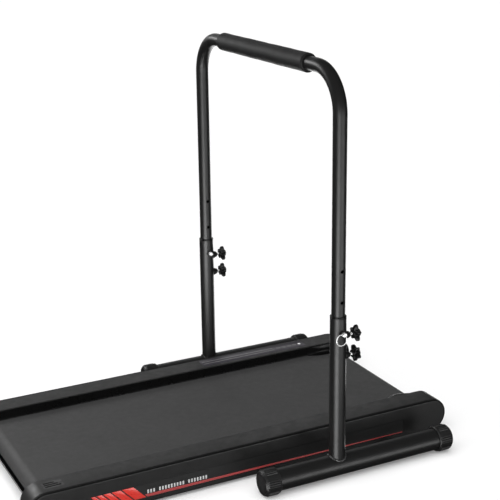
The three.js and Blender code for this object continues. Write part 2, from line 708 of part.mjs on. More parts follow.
for (const { name, sign } of SIDES) {
  add(`foot_tube_${name}`, footTube(sign), tubePaint);
  for (const { name: end, sign: endSign } of ENDS) {
    add(`foot_cap_${end}_${name}`, footCap(endSign, sign), rubber);
  }
  add(`sleeve_${name}`, sleeve(sign), tubePaint);
  add(`sleeve_bushing_${name}`, sleeveBushing(sign), knobPlastic);
  for (const [level, z] of Object.entries(KNOB_HEIGHTS)) {
    add(`star_knob_${level}_${name}`, starKnob(sign, z), knobPlastic);
  }
}
add('lock_pin_near', ringedPin().translate(UPRIGHT_X, -UPRIGHT_Y, PIN_Z), brightSteel);
add('lock_pin_far', lockPin().translate(UPRIGHT_X, UPRIGHT_Y, PIN_Z), brightSteel);
add('pull_ring_near', pullRing(), brightSteel);
for (const [end, x] of Object.entries(STRAP_POSITIONS)) {
  add(`cross_strap_${end}`, crossStrap(x), framePaint);
}
add('handle_frame', handleFrame(), tubePaint);
add('handle_grip', handleGrip(), foam);

export default group;
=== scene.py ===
"""Looks of a walking pad in a height-adjustable handrail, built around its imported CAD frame.

Lengths are in metres. X runs along the deck, Y across it ("near" is the -Y side), Z is up.
Places come from the frame's nodes; the named sizes below are details that the frame leaves out.
"""

import json
import math

import bmesh
import bpy
from mathutils import Matrix, Vector


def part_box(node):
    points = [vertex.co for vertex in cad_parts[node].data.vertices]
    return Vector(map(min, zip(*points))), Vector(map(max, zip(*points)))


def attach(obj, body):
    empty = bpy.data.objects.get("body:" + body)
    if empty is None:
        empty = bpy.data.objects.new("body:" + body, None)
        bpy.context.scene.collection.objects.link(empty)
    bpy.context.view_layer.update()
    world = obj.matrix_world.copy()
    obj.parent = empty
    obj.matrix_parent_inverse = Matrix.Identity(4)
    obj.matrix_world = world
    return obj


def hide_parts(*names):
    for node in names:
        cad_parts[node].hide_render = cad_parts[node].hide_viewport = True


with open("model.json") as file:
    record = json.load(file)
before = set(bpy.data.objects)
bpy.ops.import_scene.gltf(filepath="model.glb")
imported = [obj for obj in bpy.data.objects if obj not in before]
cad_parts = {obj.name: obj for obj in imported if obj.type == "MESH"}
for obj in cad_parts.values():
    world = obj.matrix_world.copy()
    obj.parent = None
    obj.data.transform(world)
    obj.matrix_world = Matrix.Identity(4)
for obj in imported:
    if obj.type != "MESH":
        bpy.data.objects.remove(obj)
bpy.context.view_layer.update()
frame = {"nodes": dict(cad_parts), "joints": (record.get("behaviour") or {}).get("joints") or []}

X, Y, Z = Vector((1, 0, 0)), Vector((0, 1, 0)), Vector((0, 0, 1))
SIDES = {"near": -1, "far": 1}
ENDS = {"rear": -1, "front": 1}
JOINTS = {joint["name"]: joint for joint in frame["joints"]}


def middle(node):
    low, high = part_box(node)
    return (low + high) / 2


# ---- Sizes from the frame ----

PANEL_LOW, PANEL_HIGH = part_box("side_panel_far")
COVER_LOW, COVER_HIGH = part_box("rail_cover_far")
END_RADIUS = (PANEL_HIGH.z - PANEL_LOW.z) / 2
END_X = PANEL_HIGH.x - END_RADIUS
END_Z = (PANEL_HIGH.z + PANEL_LOW.z) / 2
DECK_TOP = PANEL_HIGH.z
RAIL_INNER = COVER_LOW.y
RAIL_EDGE = COVER_HIGH.y
RAIL_OUTER = PANEL_HIGH.y
BELT_LOW, BELT_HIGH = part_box("walking_belt")
BELT_RADIUS = (BELT_HIGH.z - BELT_LOW.z) / 2
ROLLER_X = BELT_HIGH.x - BELT_RADIUS
ROLLER_Z = (BELT_HIGH.z + BELT_LOW.z) / 2
ROLLER_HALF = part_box("front_roller")[1].y
ROLLER_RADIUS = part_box("front_roller")[1].z - ROLLER_Z
STRIPE_LOW, STRIPE_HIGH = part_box("accent_stripe_far")
SCREEN_LOW, SCREEN_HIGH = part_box("touch_panel")

TUBE_LOW, TUBE_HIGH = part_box("handle_frame")
TUBE_RADIUS = (TUBE_HIGH.x - TUBE_LOW.x) / 2
UPRIGHT_X = middle("handle_frame").x
UPRIGHT_Y = TUBE_HIGH.y - TUBE_RADIUS
BAR_Z = TUBE_HIGH.z - TUBE_RADIUS
SLEEVE_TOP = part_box("sleeve_far")[1].z
SLEEVE_RADIUS = UPRIGHT_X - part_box("sleeve_far")[0].x
GRIP_LOW, GRIP_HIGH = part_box("handle_grip")
FOOT_LOW, FOOT_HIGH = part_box("foot_tube_far")
FOOT_RADIUS = (FOOT_HIGH.z - FOOT_LOW.z) / 2
FOOT_Z = (FOOT_HIGH.z + FOOT_LOW.z) / 2
CAP_RADIUS = FOOT_Z

# ---- Sizes of details ----

CLEARANCE = 0.0003  # between pieces that touch
PLASTIC_WALL = 0.003
TUBE_WALL = 0.0015
FOOT_WALL = 0.002
BEND_RADIUS = 0.095
HOLE_RADIUS = 0.0042
HOLE_HEIGHTS = (0.365, 0.438, 0.511)
SLEEVE_BORE = 0.017
KNOB_HEIGHTS = {"upper": 0.353, "lower": 0.304}
KNOB_TURNS = {"upper_near": 0, "lower_near": 36, "upper_far": 0, "lower_far": 1}
PIN_Z = HOLE_HEIGHTS[0]
CREASE = 35  # degrees; sharper edges stay sharp


# ---- Mesh helpers ----


def skin(rings, ring_closed=True, loop=False):
    """A closed mesh through rings of points; loop joins the last ring to the first."""
    bm = bmesh.new()
    rows = [[bm.verts.new(point) for point in ring] for ring in rings]
    following = rows[1:] + rows[:1] if loop else rows[1:]
    for row, other in zip(rows, following):
        count = len(row)
        for i in range(count if ring_closed else count - 1):
            j = (i + 1) % count
            bm.faces.new((row[i], row[j], other[j], other[i]))
    if not loop:
        bm.faces.new(rows[0][::-1])
        bm.faces.new(rows[-1])
    bmesh.ops.remove_doubles(bm, verts=bm.verts, dist=1e-7)
    bmesh.ops.recalc_face_normals(bm, faces=bm.faces)
    return bm


def fillet(points, radius, closed=False, steps=3):
    """Rounds the corners of a line of 2-D points; radius is one number or one for each point."""
    rounded = []
    last = len(points) - 1
    for i, point in enumerate(points):
        size = radius[i] if isinstance(radius, (list, tuple)) else radius
        if size <= 0 or (not closed and i in (0, last)):
            rounded.append(tuple(point))
            continue
        corner = Vector(point)
        back = Vector(points[i - 1]) - corner
        ahead = Vector(points[(i + 1) % len(points)]) - corner
        reach = min(size, back.length * 0.49, ahead.length * 0.49)
        start = corner + back.normalized() * reach
        end = corner + ahead.normalized() * reach
        for step in range(steps + 1):
            t = step / steps
            rounded.append(tuple(start * (1 - t) ** 2 + corner * (2 * t * (1 - t)) + end * t * t))
    return rounded


def turned(profile, origin, axis, sides=64, closed=False, shape=None):
    """Turns (radius, distance) pairs about an axis; shape(radius, distance, angle) may vary the radius."""
    axis = Vector(axis).normalized()
    side = axis.orthogonal().normalized()
    up = axis.cross(side)
    rings = []
    for step in range(sides):
        angle = math.tau * step / sides
        out = side * math.cos(angle) + up * math.sin(angle)
        spokes = [(shape(r, t, angle) if shape else r, t) for r, t in profile]
        rings.append([origin + out * r + axis * t for r, t in spokes])
    return skin(rings, ring_closed=closed, loop=True)


def circle(radius, sides):
    return [
        (radius * math.cos(math.tau * i / sides), radius * math.sin(math.tau * i / sides))
        for i in range(sides)
    ]


def placed(section, station):
    """A 2-D section as a ring of points at a station (point, u axis, v axis)."""
    at, u_axis, v_axis = station
    return [at + u_axis * u + v_axis * v for u, v in section]


def swept(stations, section, loop=False):
    return skin([placed(section, station) for station in stations], loop=loop)


def pipe(stations, radius, wall, sides=64):
    """An open-ended tube along stations."""
    outer = [placed(circle(radius, sides), station) for station in stations]
    inner = [placed(circle(radius - wall, sides), station) for station in reversed(stations)]
    return skin(outer + inner, loop=True)


def soften(bm, size, angle=30, segments=2):
    """Rounds every edge sharper than angle."""
    edges = [e for e in bm.edges if e.is_manifold and e.calc_face_angle(0) > math.radians(angle)]
    bmesh.ops.bevel(bm, geom=edges, offset=size, segments=segments, profile=0.5, affect="EDGES")
    return bm


def prism(outline, origin, u_axis, v_axis, depth, edge=0.0):
    """Pushes an outline of (u, v) pairs along u x v, and rounds its edges."""
    push = u_axis.cross(v_axis) * depth
    low = [origin + u_axis * u + v_axis * v for u, v in outline]
    bm = skin([low, [point + push for point in low]])
    return soften(bm, edge) if edge else bm


def rectangle(u, v):
    """The corners of a rectangle, from its lowest and highest u and v."""
    return [(u[0], v[0]), (u[1], v[0]), (u[1], v[1]), (u[0], v[1])]


def block(low, high, edge=0.0):
    low, high = Vector(low), Vector(high)
    outline = rectangle((0, high.x - low.x), (0, high.y - low.y))
    return prism(outline, low, X, Y, high.z - low.z, edge)


def rod(start, end, radius, sides=32):
    axis = end - start
    return turned(rectangle((0, radius), (0, axis.length)), start, axis, sides)


def gather(meshes):
    """Several closed meshes as one."""
    whole, *others = meshes
    for other in others:
        data = bpy.data.meshes.new("part")
        other.to_mesh(data)
        other.free()
        whole.from_mesh(data)
        bpy.data.meshes.remove(data)
    return whole


def new_object(name, bm):
    mesh = bpy.data.meshes.new(name)
    bm.to_mesh(mesh)
    bm.free()
    obj = bpy.data.objects.new(name, mesh)
    bpy.context.scene.collection.objects.link(obj)
    return obj


def combine(obj, bm, operation):
    """Joins or cuts obj with another closed mesh."""
    tool = new_object(obj.name + "_tool", bm)
    modifier = obj.modifiers.new("combine", "BOOLEAN")
    modifier.object = tool
    modifier.operation = operation
    modifier.solver = "EXACT"
    depsgraph = bpy.context.evaluated_depsgraph_get()
    result = bpy.data.meshes.new_from_object(obj.evaluated_get(depsgraph))
    obj.modifiers.clear()
    obj.data = result
    bpy.data.objects.remove(tool)


def piece(name, bm, look_name, body="base", replaces=(), joins=(), cuts=()):
    """A finished piece of one look, riding on a CAD body."""
    look = LOOKS[look_name]
    obj = new_object(name, bm)
    for tool in joins:
        combine(obj, tool, "UNION")
    for tool in cuts:
        combine(obj, tool, "DIFFERENCE")
    obj.data.shade_smooth()
    obj.data.set_sharp_from_angle(angle=math.radians(CREASE))
    obj.data.materials.clear()
    obj.data.materials.append(look["material"])
    if replaces:
        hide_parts(*replaces)
    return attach(obj, body)


# ---- Material helpers ----


class Graph:
    """A material's nodes around one Principled shader, measured in the part's own metres."""

    def __init__(self, name):
        self.material = bpy.data.materials.new(name)
        self.material.use_nodes = True
        self.tree = self.material.node_tree
        self.shader = self.tree.nodes["Principled BSDF"]
        self.place = self.node("ShaderNodeTexCoord").outputs["Object"]

    def node(self, kind, links=None, **settings):
        made = self.tree.nodes.new(kind)
        for key, value in settings.items():
            setattr(made, key, value)
        for socket, value in (links or {}).items():
            self.feed(made.inputs[socket], value)
        return made

    def feed(self, socket, value):
        if isinstance(value, bpy.types.NodeSocket):
            self.tree.links.new(value, socket)
        else:
            socket.default_value = value

    def stretched(self, scale):
        return self.node("ShaderNodeMapping", {"Vector": self.place, "Scale": scale}).outputs[0]

    def noise(self, scale, detail=3.0, vector=None):
        links = {"Vector": vector or self.place, "Scale": scale, "Detail": detail}
        return self.node("ShaderNodeTexNoise", links).outputs["Fac"]

    def cells(self, scale):
        links = {"Vector": self.place, "Scale": scale}
        return self.node("ShaderNodeTexVoronoi", links).outputs["Distance"]

    def wave(self, scale, direction, distortion=0.0):
        links = {"Vector": self.place, "Scale": scale, "Distortion": distortion}
        return self.node("ShaderNodeTexWave", links, bands_direction=direction).outputs["Fac"]

    def range(self, value, low, high, to_low=0.0, to_high=1.0):
        links = {0: value, 1: low, 2: high, 3: to_low, 4: to_high}
        return self.node("ShaderNodeMapRange", links).outputs[0]

    def math(self, operation, first, second):
        return self.node("ShaderNodeMath", {0: first, 1: second}, operation=operation).outputs[0]

    def mix(self, share, first, second):
        made = self.node("ShaderNodeMix", data_type="RGBA")
        self.feed(made.inputs["Factor"], share)
        self.feed(made.inputs["A"], first)
        self.feed(made.inputs["B"], second)
        return made.outputs["Result"]

    def bump(self, height, strength, distance, below=None):
        links = {"Height": height, "Strength": strength, "Distance": distance}
        if below is not None:
            links["Normal"] = below
        return self.node("ShaderNodeBump", links).outputs[0]

    def plus(self, first, second, share):
        """The first value with a share of the second added."""
        return self.math("ADD", first, self.math("MULTIPLY", second, share))


def rgba(colour, share=1.0):
    return (*(min(1.0, channel * share) for channel in colour), 1.0)


NOISE_SPAN = (0.3, 0.7)  # where most of a noise's values lie
CLOUD_SCALE = 14.0  # of the mottled colour
SMEAR_SCALE = 60.0  # of the uneven roughness
WORN_SPAN = (0.53, 0.62)  # pointiness over which an edge turns worn
WORN_PATCHES = (0.35, 0.6)
WORN_DULLING = 0.12
COAT_ROUGHNESS = 0.12
SWELL_SCALE = 35.0  # slow waves of a moulded or painted surface
SWELL_STRENGTH = 0.02
SWELL_DEPTH = 0.001


def finish_look(name, slot, colour, roughness, metallic=0.0, mottle=0.05, spread=0.06,
                grain=900.0, relief=0.15, depth=0.0002, wear=None, pattern=None, coat=0.0, specular=0.5):
    """A material with mottled colour, uneven roughness, a fine relief and optional worn edges."""
    graph = Graph(name)
    shader = graph.shader
    shader.inputs["Metallic"].default_value = metallic
    shader.inputs["Specular IOR Level"].default_value = specular
    if coat:
        shader.inputs["Coat Weight"].default_value = coat
        shader.inputs["Coat Roughness"].default_value = COAT_ROUGHNESS
    cloud = graph.range(graph.noise(CLOUD_SCALE, 4.0), *NOISE_SPAN)
    paint = graph.mix(cloud, rgba(colour, 1 - mottle), rgba(colour, 1 + mottle))
    smear = graph.noise(SMEAR_SCALE, 5.0)
    gloss = graph.range(smear, *NOISE_SPAN, roughness - spread, roughness + spread)
    if wear:
        edge = graph.node("ShaderNodeNewGeometry").outputs["Pointiness"]
        rubbed = graph.range(edge, *WORN_SPAN)
        patchy = graph.math("MULTIPLY", rubbed, graph.range(graph.noise(120.0), *WORN_PATCHES))
        paint = graph.mix(patchy, paint, rgba(wear))
        gloss = graph.plus(gloss, patchy, WORN_DULLING)
    height = pattern(graph) if pattern else graph.noise(grain, 2.0)
    graph.feed(shader.inputs["Base Color"], paint)
    graph.feed(shader.inputs["Roughness"], gloss)
    fine = graph.bump(height, relief, depth)
    swell = graph.bump(graph.noise(SWELL_SCALE), SWELL_STRENGTH, SWELL_DEPTH, below=fine)
    graph.feed(shader.inputs["Normal"], swell)
    return {"material": graph.material, "slot": slot}


def belt_relief(graph):
    """Crossed fine ribs, as the printed cloth face of a running belt."""
    along = graph.wave(170.0, "X")
    across = graph.wave(170.0, "Y")
    weave = graph.math("MULTIPLY", along, across)
    return graph.plus(weave, graph.noise(700.0), 0.6)


def foam_relief(graph):
    """Small closed cells with a skin over them."""
    pores = graph.range(graph.cells(620.0), 0.0, 0.55)
    return graph.plus(pores, graph.noise(260.0), 0.5)


def peel_relief(graph):
    """The slight orange peel of powder coat with a fine sparkle on it."""
    return graph.plus(graph.noise(330.0, 1.0), graph.noise(1500.0), 0.35)


def turned_relief(graph):
    """Tool rings along a shaft that lies across the deck."""
    return graph.plus(graph.wave(420.0, "Y", 0.4), graph.noise(500.0), 0.3)


def brushed_relief(graph):
    return graph.noise(260.0, 4.0, graph.stretched((1.0, 6.0, 1.0)))


def fibre_relief(graph):
    return graph.noise(150.0, 6.0, graph.stretched((0.25, 1.0, 1.0)))


def moulded_relief(graph):
    """Fine spark-eroded grain."""
    pits = graph.range(graph.cells(1100.0), 0.0, 0.5)
    return graph.plus(pits, graph.noise(500.0), 0.6)


def grey(value):
    return (value, value, value)


LOOKS = {
    "belt": finish_look(
        "belt_pvc", "belt", grey(0.042), 0.62, relief=0.35, depth=0.0004, pattern=belt_relief,
        specular=0.35),
    "board": finish_look(
        "board_laminate", "board", (0.30, 0.21, 0.13), 0.5, mottle=0.22, pattern=fibre_relief, relief=0.3),
    "frame": finish_look(
        "frame_paint", "painted_steel", grey(0.022), 0.42, mottle=0.12, wear=grey(0.12),
        pattern=peel_relief, relief=0.12),
    "steel": finish_look(
        "plated_steel", "bright_steel", grey(0.86), 0.24, metallic=0.55, mottle=0.08, spread=0.05,
        pattern=brushed_relief, relief=0.06),
    "roller": finish_look(
        "roller_steel", "roller_steel", grey(0.55), 0.3, metallic=1.0, mottle=0.1, pattern=turned_relief,
        relief=0.12),
    "rubber": finish_look(
        "moulded_rubber", "rubber", grey(0.011), 0.46, mottle=0.2, wear=grey(0.05), pattern=moulded_relief,
        relief=0.2, specular=0.4),
    "rail": finish_look(
        "rail_plastic", "rail_plastic", grey(0.0150), 0.46, mottle=0.06, wear=grey(0.07),
        pattern=moulded_relief, relief=0.1),
    "panel": finish_look(
        "panel_plastic", "panel_plastic", grey(0.0105), 0.42, mottle=0.06, wear=grey(0.05),
        pattern=moulded_relief, relief=0.1),
    # painted shade: a near-black colour that stands in for the shadow in the seam between a cover and its
    # side panel
    "seam_shadow": finish_look(
        "seam_shadow_paint", "rubber", grey(0.003), 0.6, mottle=0.1, relief=0.05, specular=0.15),
    "guard": finish_look(
        "guard_plastic", "guard_plastic", grey(0.0022), 0.3, mottle=0.15, spread=0.05, grain=500.0,
        relief=0.04, specular=0.3),
    "band": finish_look(
        "band_plastic", "panel_plastic", grey(0.0165), 0.42, mottle=0.08, spread=0.04, grain=700.0,
        relief=0.06),
    "red": finish_look(
        "red_vinyl", "red_vinyl", (0.70, 0.030, 0.018), 0.32, spread=0.05, grain=600.0, relief=0.05,
        coat=0.3),
    # partly painted highlight: the line's own red, paled toward pink to stand in for the sheen along a
    # raised bead
    "line_red_and_sheen": finish_look(
        "painted_sheen_line_vinyl", "red_vinyl", (0.40, 0.052, 0.052), 0.34, spread=0.04, grain=600.0, relief=0.05,
        coat=0.2),
    "tick": finish_look("tick_print", "screen", grey(0.60), 0.4, mottle=0.04, relief=0.04),
    "screen": finish_look(
        "smoked_panel", "screen", (0.030, 0.027, 0.034), 0.34, spread=0.03, grain=300.0, relief=0.03),
    "print": finish_look("grey_print", "screen", grey(0.16), 0.4, mottle=0.08, relief=0.05),
    "print_dark": finish_look(
        "dark_print", "screen", grey(0.010), 0.7, mottle=0.08, relief=0.05, specular=0.0),
    "white": finish_look("white_print", "screen", grey(0.85), 0.35, mottle=0.03, relief=0.04),
    "electrical": finish_look(
        "electrical_black", "electrical_black", grey(0.012), 0.45, mottle=0.12, pattern=moulded_relief,
        relief=0.12),
    "switch": finish_look("switch_red", "switch_red", (0.45, 0.02, 0.02), 0.25, grain=500.0, relief=0.04),
    "tube": finish_look(
        "tube_coat", "tube_paint", grey(0.0085), 0.42, spread=0.02, pattern=peel_relief, relief=0.10,
        specular=0.45),
    "foam": finish_look(
        "grip_foam", "foam", grey(0.010), 0.60, mottle=0.1, spread=0.03, pattern=foam_relief, relief=0.5,
        depth=0.0005, specular=0.32),
    "knob": finish_look(
        "knob_plastic", "knob_plastic", grey(0.0035), 0.38, mottle=0.15, wear=grey(0.015),
        pattern=moulded_relief, relief=0.12, specular=0.35),
    "weld": finish_look(
        "weld_bead", "tube_paint", grey(0.05), 0.26, mottle=0.3, spread=0.1, grain=400.0, relief=0.4,
        metallic=0.5),
}


# ---- Stage: camera, lights and floor ----

CAMERA_AZIMUTH = -26.9
CAMERA_ELEVATION = 17.2
CAMERA_ROLL = -0.77
CAMERA_TARGET = Vector((0.129, 0.0, 0.470))
CAMERA_DISTANCE = 2.951
CAMERA_LENS = 86.04
SENSOR = 36.0

WHITE = (1.0, 1.0, 1.0)
SKY_POWER = 3.1
SKY_SPREAD = math.radians(95)
SKY_FROM = Vector((-0.22, -0.30, 1.0))
SEEN_WHITE = 1.0
GLOSSY_GREY = 0.03
AMBIENT_GREY = 0.16
FLOOR_RADIUS = 14.0
FLOOR_DEPTHS = (0.004, 0.0002)  # of the paper's underside and face below the ground
FLOOR_GLOW = 0.16
WAIST = Vector((UPRIGHT_X, 0, 0.4))
DECK_REAR = Vector((-0.5, 0, 0.05))


def add_camera():
    azimuth, elevation = math.radians(CAMERA_AZIMUTH), math.radians(CAMERA_ELEVATION)
    back = Vector((
        math.sin(azimuth) * math.cos(elevation),
        -math.cos(azimuth) * math.cos(elevation),
        math.sin(elevation),
    ))
    side = Z.cross(back).normalized()
    up = back.cross(side)
    roll = math.radians(CAMERA_ROLL)
    right = side * math.cos(roll) + up * math.sin(roll)
    top = up * math.cos(roll) - side * math.sin(roll)
    data = bpy.data.cameras.new("camera")
    data.lens = CAMERA_LENS
    data.sensor_width = SENSOR
    camera = bpy.data.objects.new("camera", data)
    camera.matrix_world = Matrix.Translation(CAMERA_TARGET + back * CAMERA_DISTANCE) @ Matrix(
        (right, top, back)).transposed().to_4x4()
    bpy.context.scene.collection.objects.link(camera)
    bpy.context.scene.camera = camera


def studio_spot(azimuth, distance, height):
    """A place round the handrail, azimuth measured as the camera's is."""
    angle = math.radians(azimuth)
    return Vector((UPRIGHT_X + distance * math.sin(angle), -distance * math.cos(angle), height))


def add_box(name, at, target, size, power, gloss=True, diffuse=True):
    """A soft box; one without diffuse light only draws highlights."""
    data = bpy.data.lights.new(name, "AREA")
    data.shape = "RECTANGLE"
    data.size, data.size_y = size
    data.energy = power
    light = bpy.data.objects.new(name, data)
    light.location = at
    light.rotation_euler = (at - target).to_track_quat("Z", "Y").to_euler()
    light.visible_camera = False
    light.visible_diffuse = diffuse
    light.visible_glossy = gloss
    bpy.context.scene.collection.objects.link(light)
    return light


def add_sky_light():
    """Even soft light from above, tipped a little to the camera's side."""
    data = bpy.data.lights.new("sky", "SUN")
    data.energy = SKY_POWER
    data.angle = SKY_SPREAD
    light = bpy.data.objects.new("sky", data)
    light.rotation_euler = SKY_FROM.to_track_quat("Z", "Y").to_euler()
    light.visible_glossy = False
    bpy.context.scene.collection.objects.link(light)


def backdrop(nodes, value):
    background = nodes.new("ShaderNodeBackground")
    background.inputs["Color"].default_value = rgba(WHITE)
    background.inputs["Strength"].default_value = value
    return background.outputs[0]


def add_world():
    """White behind the object, a dim even light on it and almost nothing in its gloss."""
    world = bpy.data.worlds.new("studio")
    bpy.context.scene.world = world
    world.use_nodes = True
    nodes, links = world.node_tree.nodes, world.node_tree.links
    nodes.clear()
    path = nodes.new("ShaderNodeLightPath")
    shown = backdrop(nodes, AMBIENT_GREY)
    for ray, value in (("Is Glossy Ray", GLOSSY_GREY), ("Is Camera Ray", SEEN_WHITE)):
        mix = nodes.new("ShaderNodeMixShader")
        links.new(path.outputs[ray], mix.inputs[0])
        links.new(shown, mix.inputs[1])
        links.new(backdrop(nodes, value), mix.inputs[2])
        shown = mix.outputs[0]
    links.new(shown, nodes.new("ShaderNodeOutputWorld").inputs[0])


def add_floor():
    """White paper that shows only the soft shadows; it stays out of the gloss."""
    look = finish_look("floor_paper", None, grey(0.80), 0.9, mottle=0.0, relief=0.0, specular=0.0)
    shader = look["material"].node_tree.nodes["Principled BSDF"]
    shader.inputs["Emission Strength"].default_value = FLOOR_GLOW
    shader.inputs["Emission Color"].default_value = rgba(WHITE)
    rim = [X * u + Y * v for u, v in circle(FLOOR_RADIUS, 96)]
    floor = new_object("floor", skin([[point - Z * depth for point in rim] for depth in FLOOR_DEPTHS]))
    floor.data.materials.append(look["material"])
    floor.visible_glossy = False


# Boxes that only draw highlights: name, place, size and power.
GLOSS_BOXES = (
    ("left_box", studio_spot(-40, 3.0, -0.6), (2.4, 2.0), 122),
    ("rear_box", studio_spot(140, 3.2, -1.2), (4.4, 2.2), 100),
    ("right_box", studio_spot(14, 3.0, -0.1), (2.8, 1.2), 54),
    ("top_box", Vector((1.7, 4.0, 2.3)), (3.2, 1.4), 14),
    ("back_box", Vector((-1.3, 2.4, 1.75)), (1.4, 0.7), 34),
)


def add_stage():
    add_camera()
    add_world()
    add_floor()
    add_sky_light()
    for name, at, size, power in GLOSS_BOXES:
        add_box(name, at, WAIST, size, power, diffuse=False)
    add_box("end_box", Vector((-2.3, -0.3, 0.5)), DECK_REAR, (1.0, 0.7), 22, gloss=False)
    view = bpy.context.scene.view_settings
    view.view_transform = "Standard"
    view.look = "None"


# ---- Deck: rails ----

COVER_FOOT = -50  # degrees; where a cover's rounded end stops
COVER_INNER = RAIL_INNER - 0.0055
COVER_EDGE = 0.0022
ARC_STEPS = 28


def slot_points(radius, centre_x, centre_z, foot=-90):
    """(point in the XZ plane, outward direction) from the front end over the top to the rear."""
    stations = []
    for end in (1, -1):
        for step in range(ARC_STEPS + 1):
            share = step / ARC_STEPS if end > 0 else 1 - step / ARC_STEPS
            angle = math.radians(foot + (90 - foot) * share)
            out = X * (end * math.cos(angle)) + Z * math.sin(angle)
            stations.append((X * (end * centre_x) + Z * centre_z + out * radius, out))
    return stations


def rail_cover(side, sign):
    """The rail's top and rounded ends; the far one has a pocket for the touch panel."""
    width = RAIL_EDGE - COVER_INNER
    corners = [(0, -PLASTIC_WALL), (0, 0), (width, 0), (width, -PLASTIC_WALL)]
    section = fillet(corners, [0.0004, COVER_EDGE, COVER_EDGE, 0.0004], closed=True, steps=4)
    stations = [
        (point + Y * (sign * COVER_INNER), Y * sign, out)
        for point, out in slot_points(END_RADIUS, END_X, END_Z, COVER_FOOT)
    ]
    cuts = []
    if side == "far":
        gap = Vector((CLEARANCE, CLEARANCE, 0))
        cuts = [block(SCREEN_LOW - gap, SCREEN_HIGH + gap + Z * 0.01)]
    piece(f"rail_cover_{side}_shell", swept(stations, section), "rail",
          replaces=[f"rail_cover_{side}"], cuts=cuts)


BAND_REAR = -0.410
BAND_FRONT = 0.418
BAND_LOW = STRIPE_LOW.z - 0.001
BAND_HIGH = STRIPE_HIGH.z + 0.001
BAND_DEPTH = 0.0012
BAND_INLAY = 0.00045
SEAM_HEIGHT = 0.0045
PANEL_LIP = 0.011
PANEL_CHAMFER = 0.0008
SWITCH_GAP = 0.0022  # room for the rocker's corner to swing out


def fitting_cut(node, margin):
    low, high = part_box(node)
    return block((low.x - margin, RAIL_OUTER - 0.02, low.z - margin),
                 (high.x + margin, RAIL_OUTER + 0.002, high.z + margin))


def side_panel(side, sign):
    """A slot-shaped plate with a rounded rim, a lip into the cover and a sunk band."""
    face, back, tip = RAIL_OUTER, RAIL_OUTER - PLASTIC_WALL, RAIL_OUTER - PANEL_LIP
    lip = PLASTIC_WALL + 2 * CLEARANCE
    rim, chamfer = SEAM_HEIGHT, PANEL_CHAMFER
    profile = [(0.016, face), (rim + 2 * chamfer, face), (rim + chamfer, face)]
    profile += [(rim + chamfer / 4, face - chamfer / 4), (rim, face - chamfer), (rim, back)]
    profile += [(rim + lip, back), (rim + lip, tip), (rim + 2 * lip, tip), (rim + 2 * lip, back)]
    outline = slot_points(0, END_X, END_Z)
    rings = [
        [point + out * (END_RADIUS - inset) + Y * (sign * y) for point, out in outline]
        for inset, y in profile
    ]
    inner, outer = sorted((sign * (face - BAND_DEPTH), sign * (face + 0.002)))
    cuts = [block((BAND_REAR, inner, BAND_LOW), (BAND_FRONT, outer, BAND_HIGH), edge=0.0006)]
    if side == "far":
        cuts += [fitting_cut("power_inlet", CLEARANCE), fitting_cut("power_switch", SWITCH_GAP)]
    piece(f"side_panel_{side}_shell", skin(rings), "panel", replaces=[f"side_panel_{side}"], cuts=cuts)


def painted_seam_shadow(side, sign):
    """A near-black strip in the seam between a cover and its side panel; its colour paints the shade of
    the seam's shadow gap.
    """
    inner, edge, outer = RAIL_EDGE - 0.005, RAIL_EDGE + CLEARANCE, RAIL_OUTER - 0.0005
    under, crown, shoulder = -PLASTIC_WALL - CLEARANCE, -0.0009, -0.0016
    section = [(inner, -SEAM_HEIGHT), (inner, under), (edge, under), (edge, crown)]
    section += [(outer - 0.0007, crown), (outer, shoulder), (outer, -SEAM_HEIGHT)]
    rings = [
        [point + Y * (sign * y) + out * rise for y, rise in section]
        for point, out in slot_points(END_RADIUS, END_X, END_Z, COVER_FOOT)
    ]
    piece(f"rail_seam_{side}", skin(rings), "seam_shadow")


def accent_band(side, sign):
    """A smoother, slightly lighter inlay on the floor of the sunk band."""
    margin = 0.0008
    low = Vector((BAND_REAR + margin, 0, BAND_LOW + margin))
    high = Vector((BAND_FRONT - margin, 0, BAND_HIGH - margin))
    outline = fillet(rectangle((low.x, high.x), (low.z, high.z)), 0.002, closed=True)
    y = sign * (RAIL_OUTER - BAND_DEPTH - 0.0002 + (0 if sign < 0 else BAND_INLAY))
    piece(f"accent_band_{side}", prism(outline, Y * y, X, Z, BAND_INLAY), "band")


STRIPE_BLOCKS = 5
STRIPE_FRONT = -0.274
STRIPE_WIDEST = 0.027
STRIPE_SHRINK = 0.77
STRIPE_GAP = 0.0035
STRIPE_SLANT = 0.030
STRIPE_LINE = 0.007
STRIPE_TIP = 0.0015
STRIPE_THICK = 0.0008


def inlay(outline, sign, thick):
    """A thin plate standing on the floor of the sunk band."""
    back = RAIL_OUTER - BAND_DEPTH + 0.0001
    y = sign * (back if sign < 0 else back + thick)
    return prism(outline, Y * y, X, Z, thick, edge=0.0002)


def accent_stripe(side, sign):
    """Slanted red blocks, each narrower than the last, and a duller line that thins to the front; the
    line's pale pinkish red is partly its own colour and partly a painted highlight along a raised bead.
    """
    low, high = STRIPE_LOW.z, STRIPE_HIGH.z
    outlines = []
    x, width = STRIPE_FRONT, STRIPE_WIDEST
    for _ in range(STRIPE_BLOCKS):
        rear = x - width
        outlines.append([(rear, low), (x, low), (x - STRIPE_SLANT, high), (rear - STRIPE_SLANT, high)])
        x = rear - STRIPE_GAP
        width *= STRIPE_SHRINK
    start = STRIPE_FRONT + STRIPE_GAP
    line = [(start, low), (STRIPE_HIGH.x, low), (STRIPE_HIGH.x, low + STRIPE_TIP)]
    line.append((start - STRIPE_SLANT * STRIPE_LINE / (high - low), low + STRIPE_LINE))
    blocks = [inlay(outline, sign, STRIPE_THICK) for outline in outlines]
    piece(f"accent_stripe_{side}_inlay", gather(blocks), "red", replaces=[f"accent_stripe_{side}"])
    piece(f"accent_line_{side}", inlay(line, sign, STRIPE_THICK), "line_red_and_sheen")


TICK_GROUPS = (3, 9, 7)
TICK_PITCH = 0.0072
TICK_SIZE = (0.0038, 0.0088)
TICK_RISE = 0.0012
TICK_THICK = 0.0005


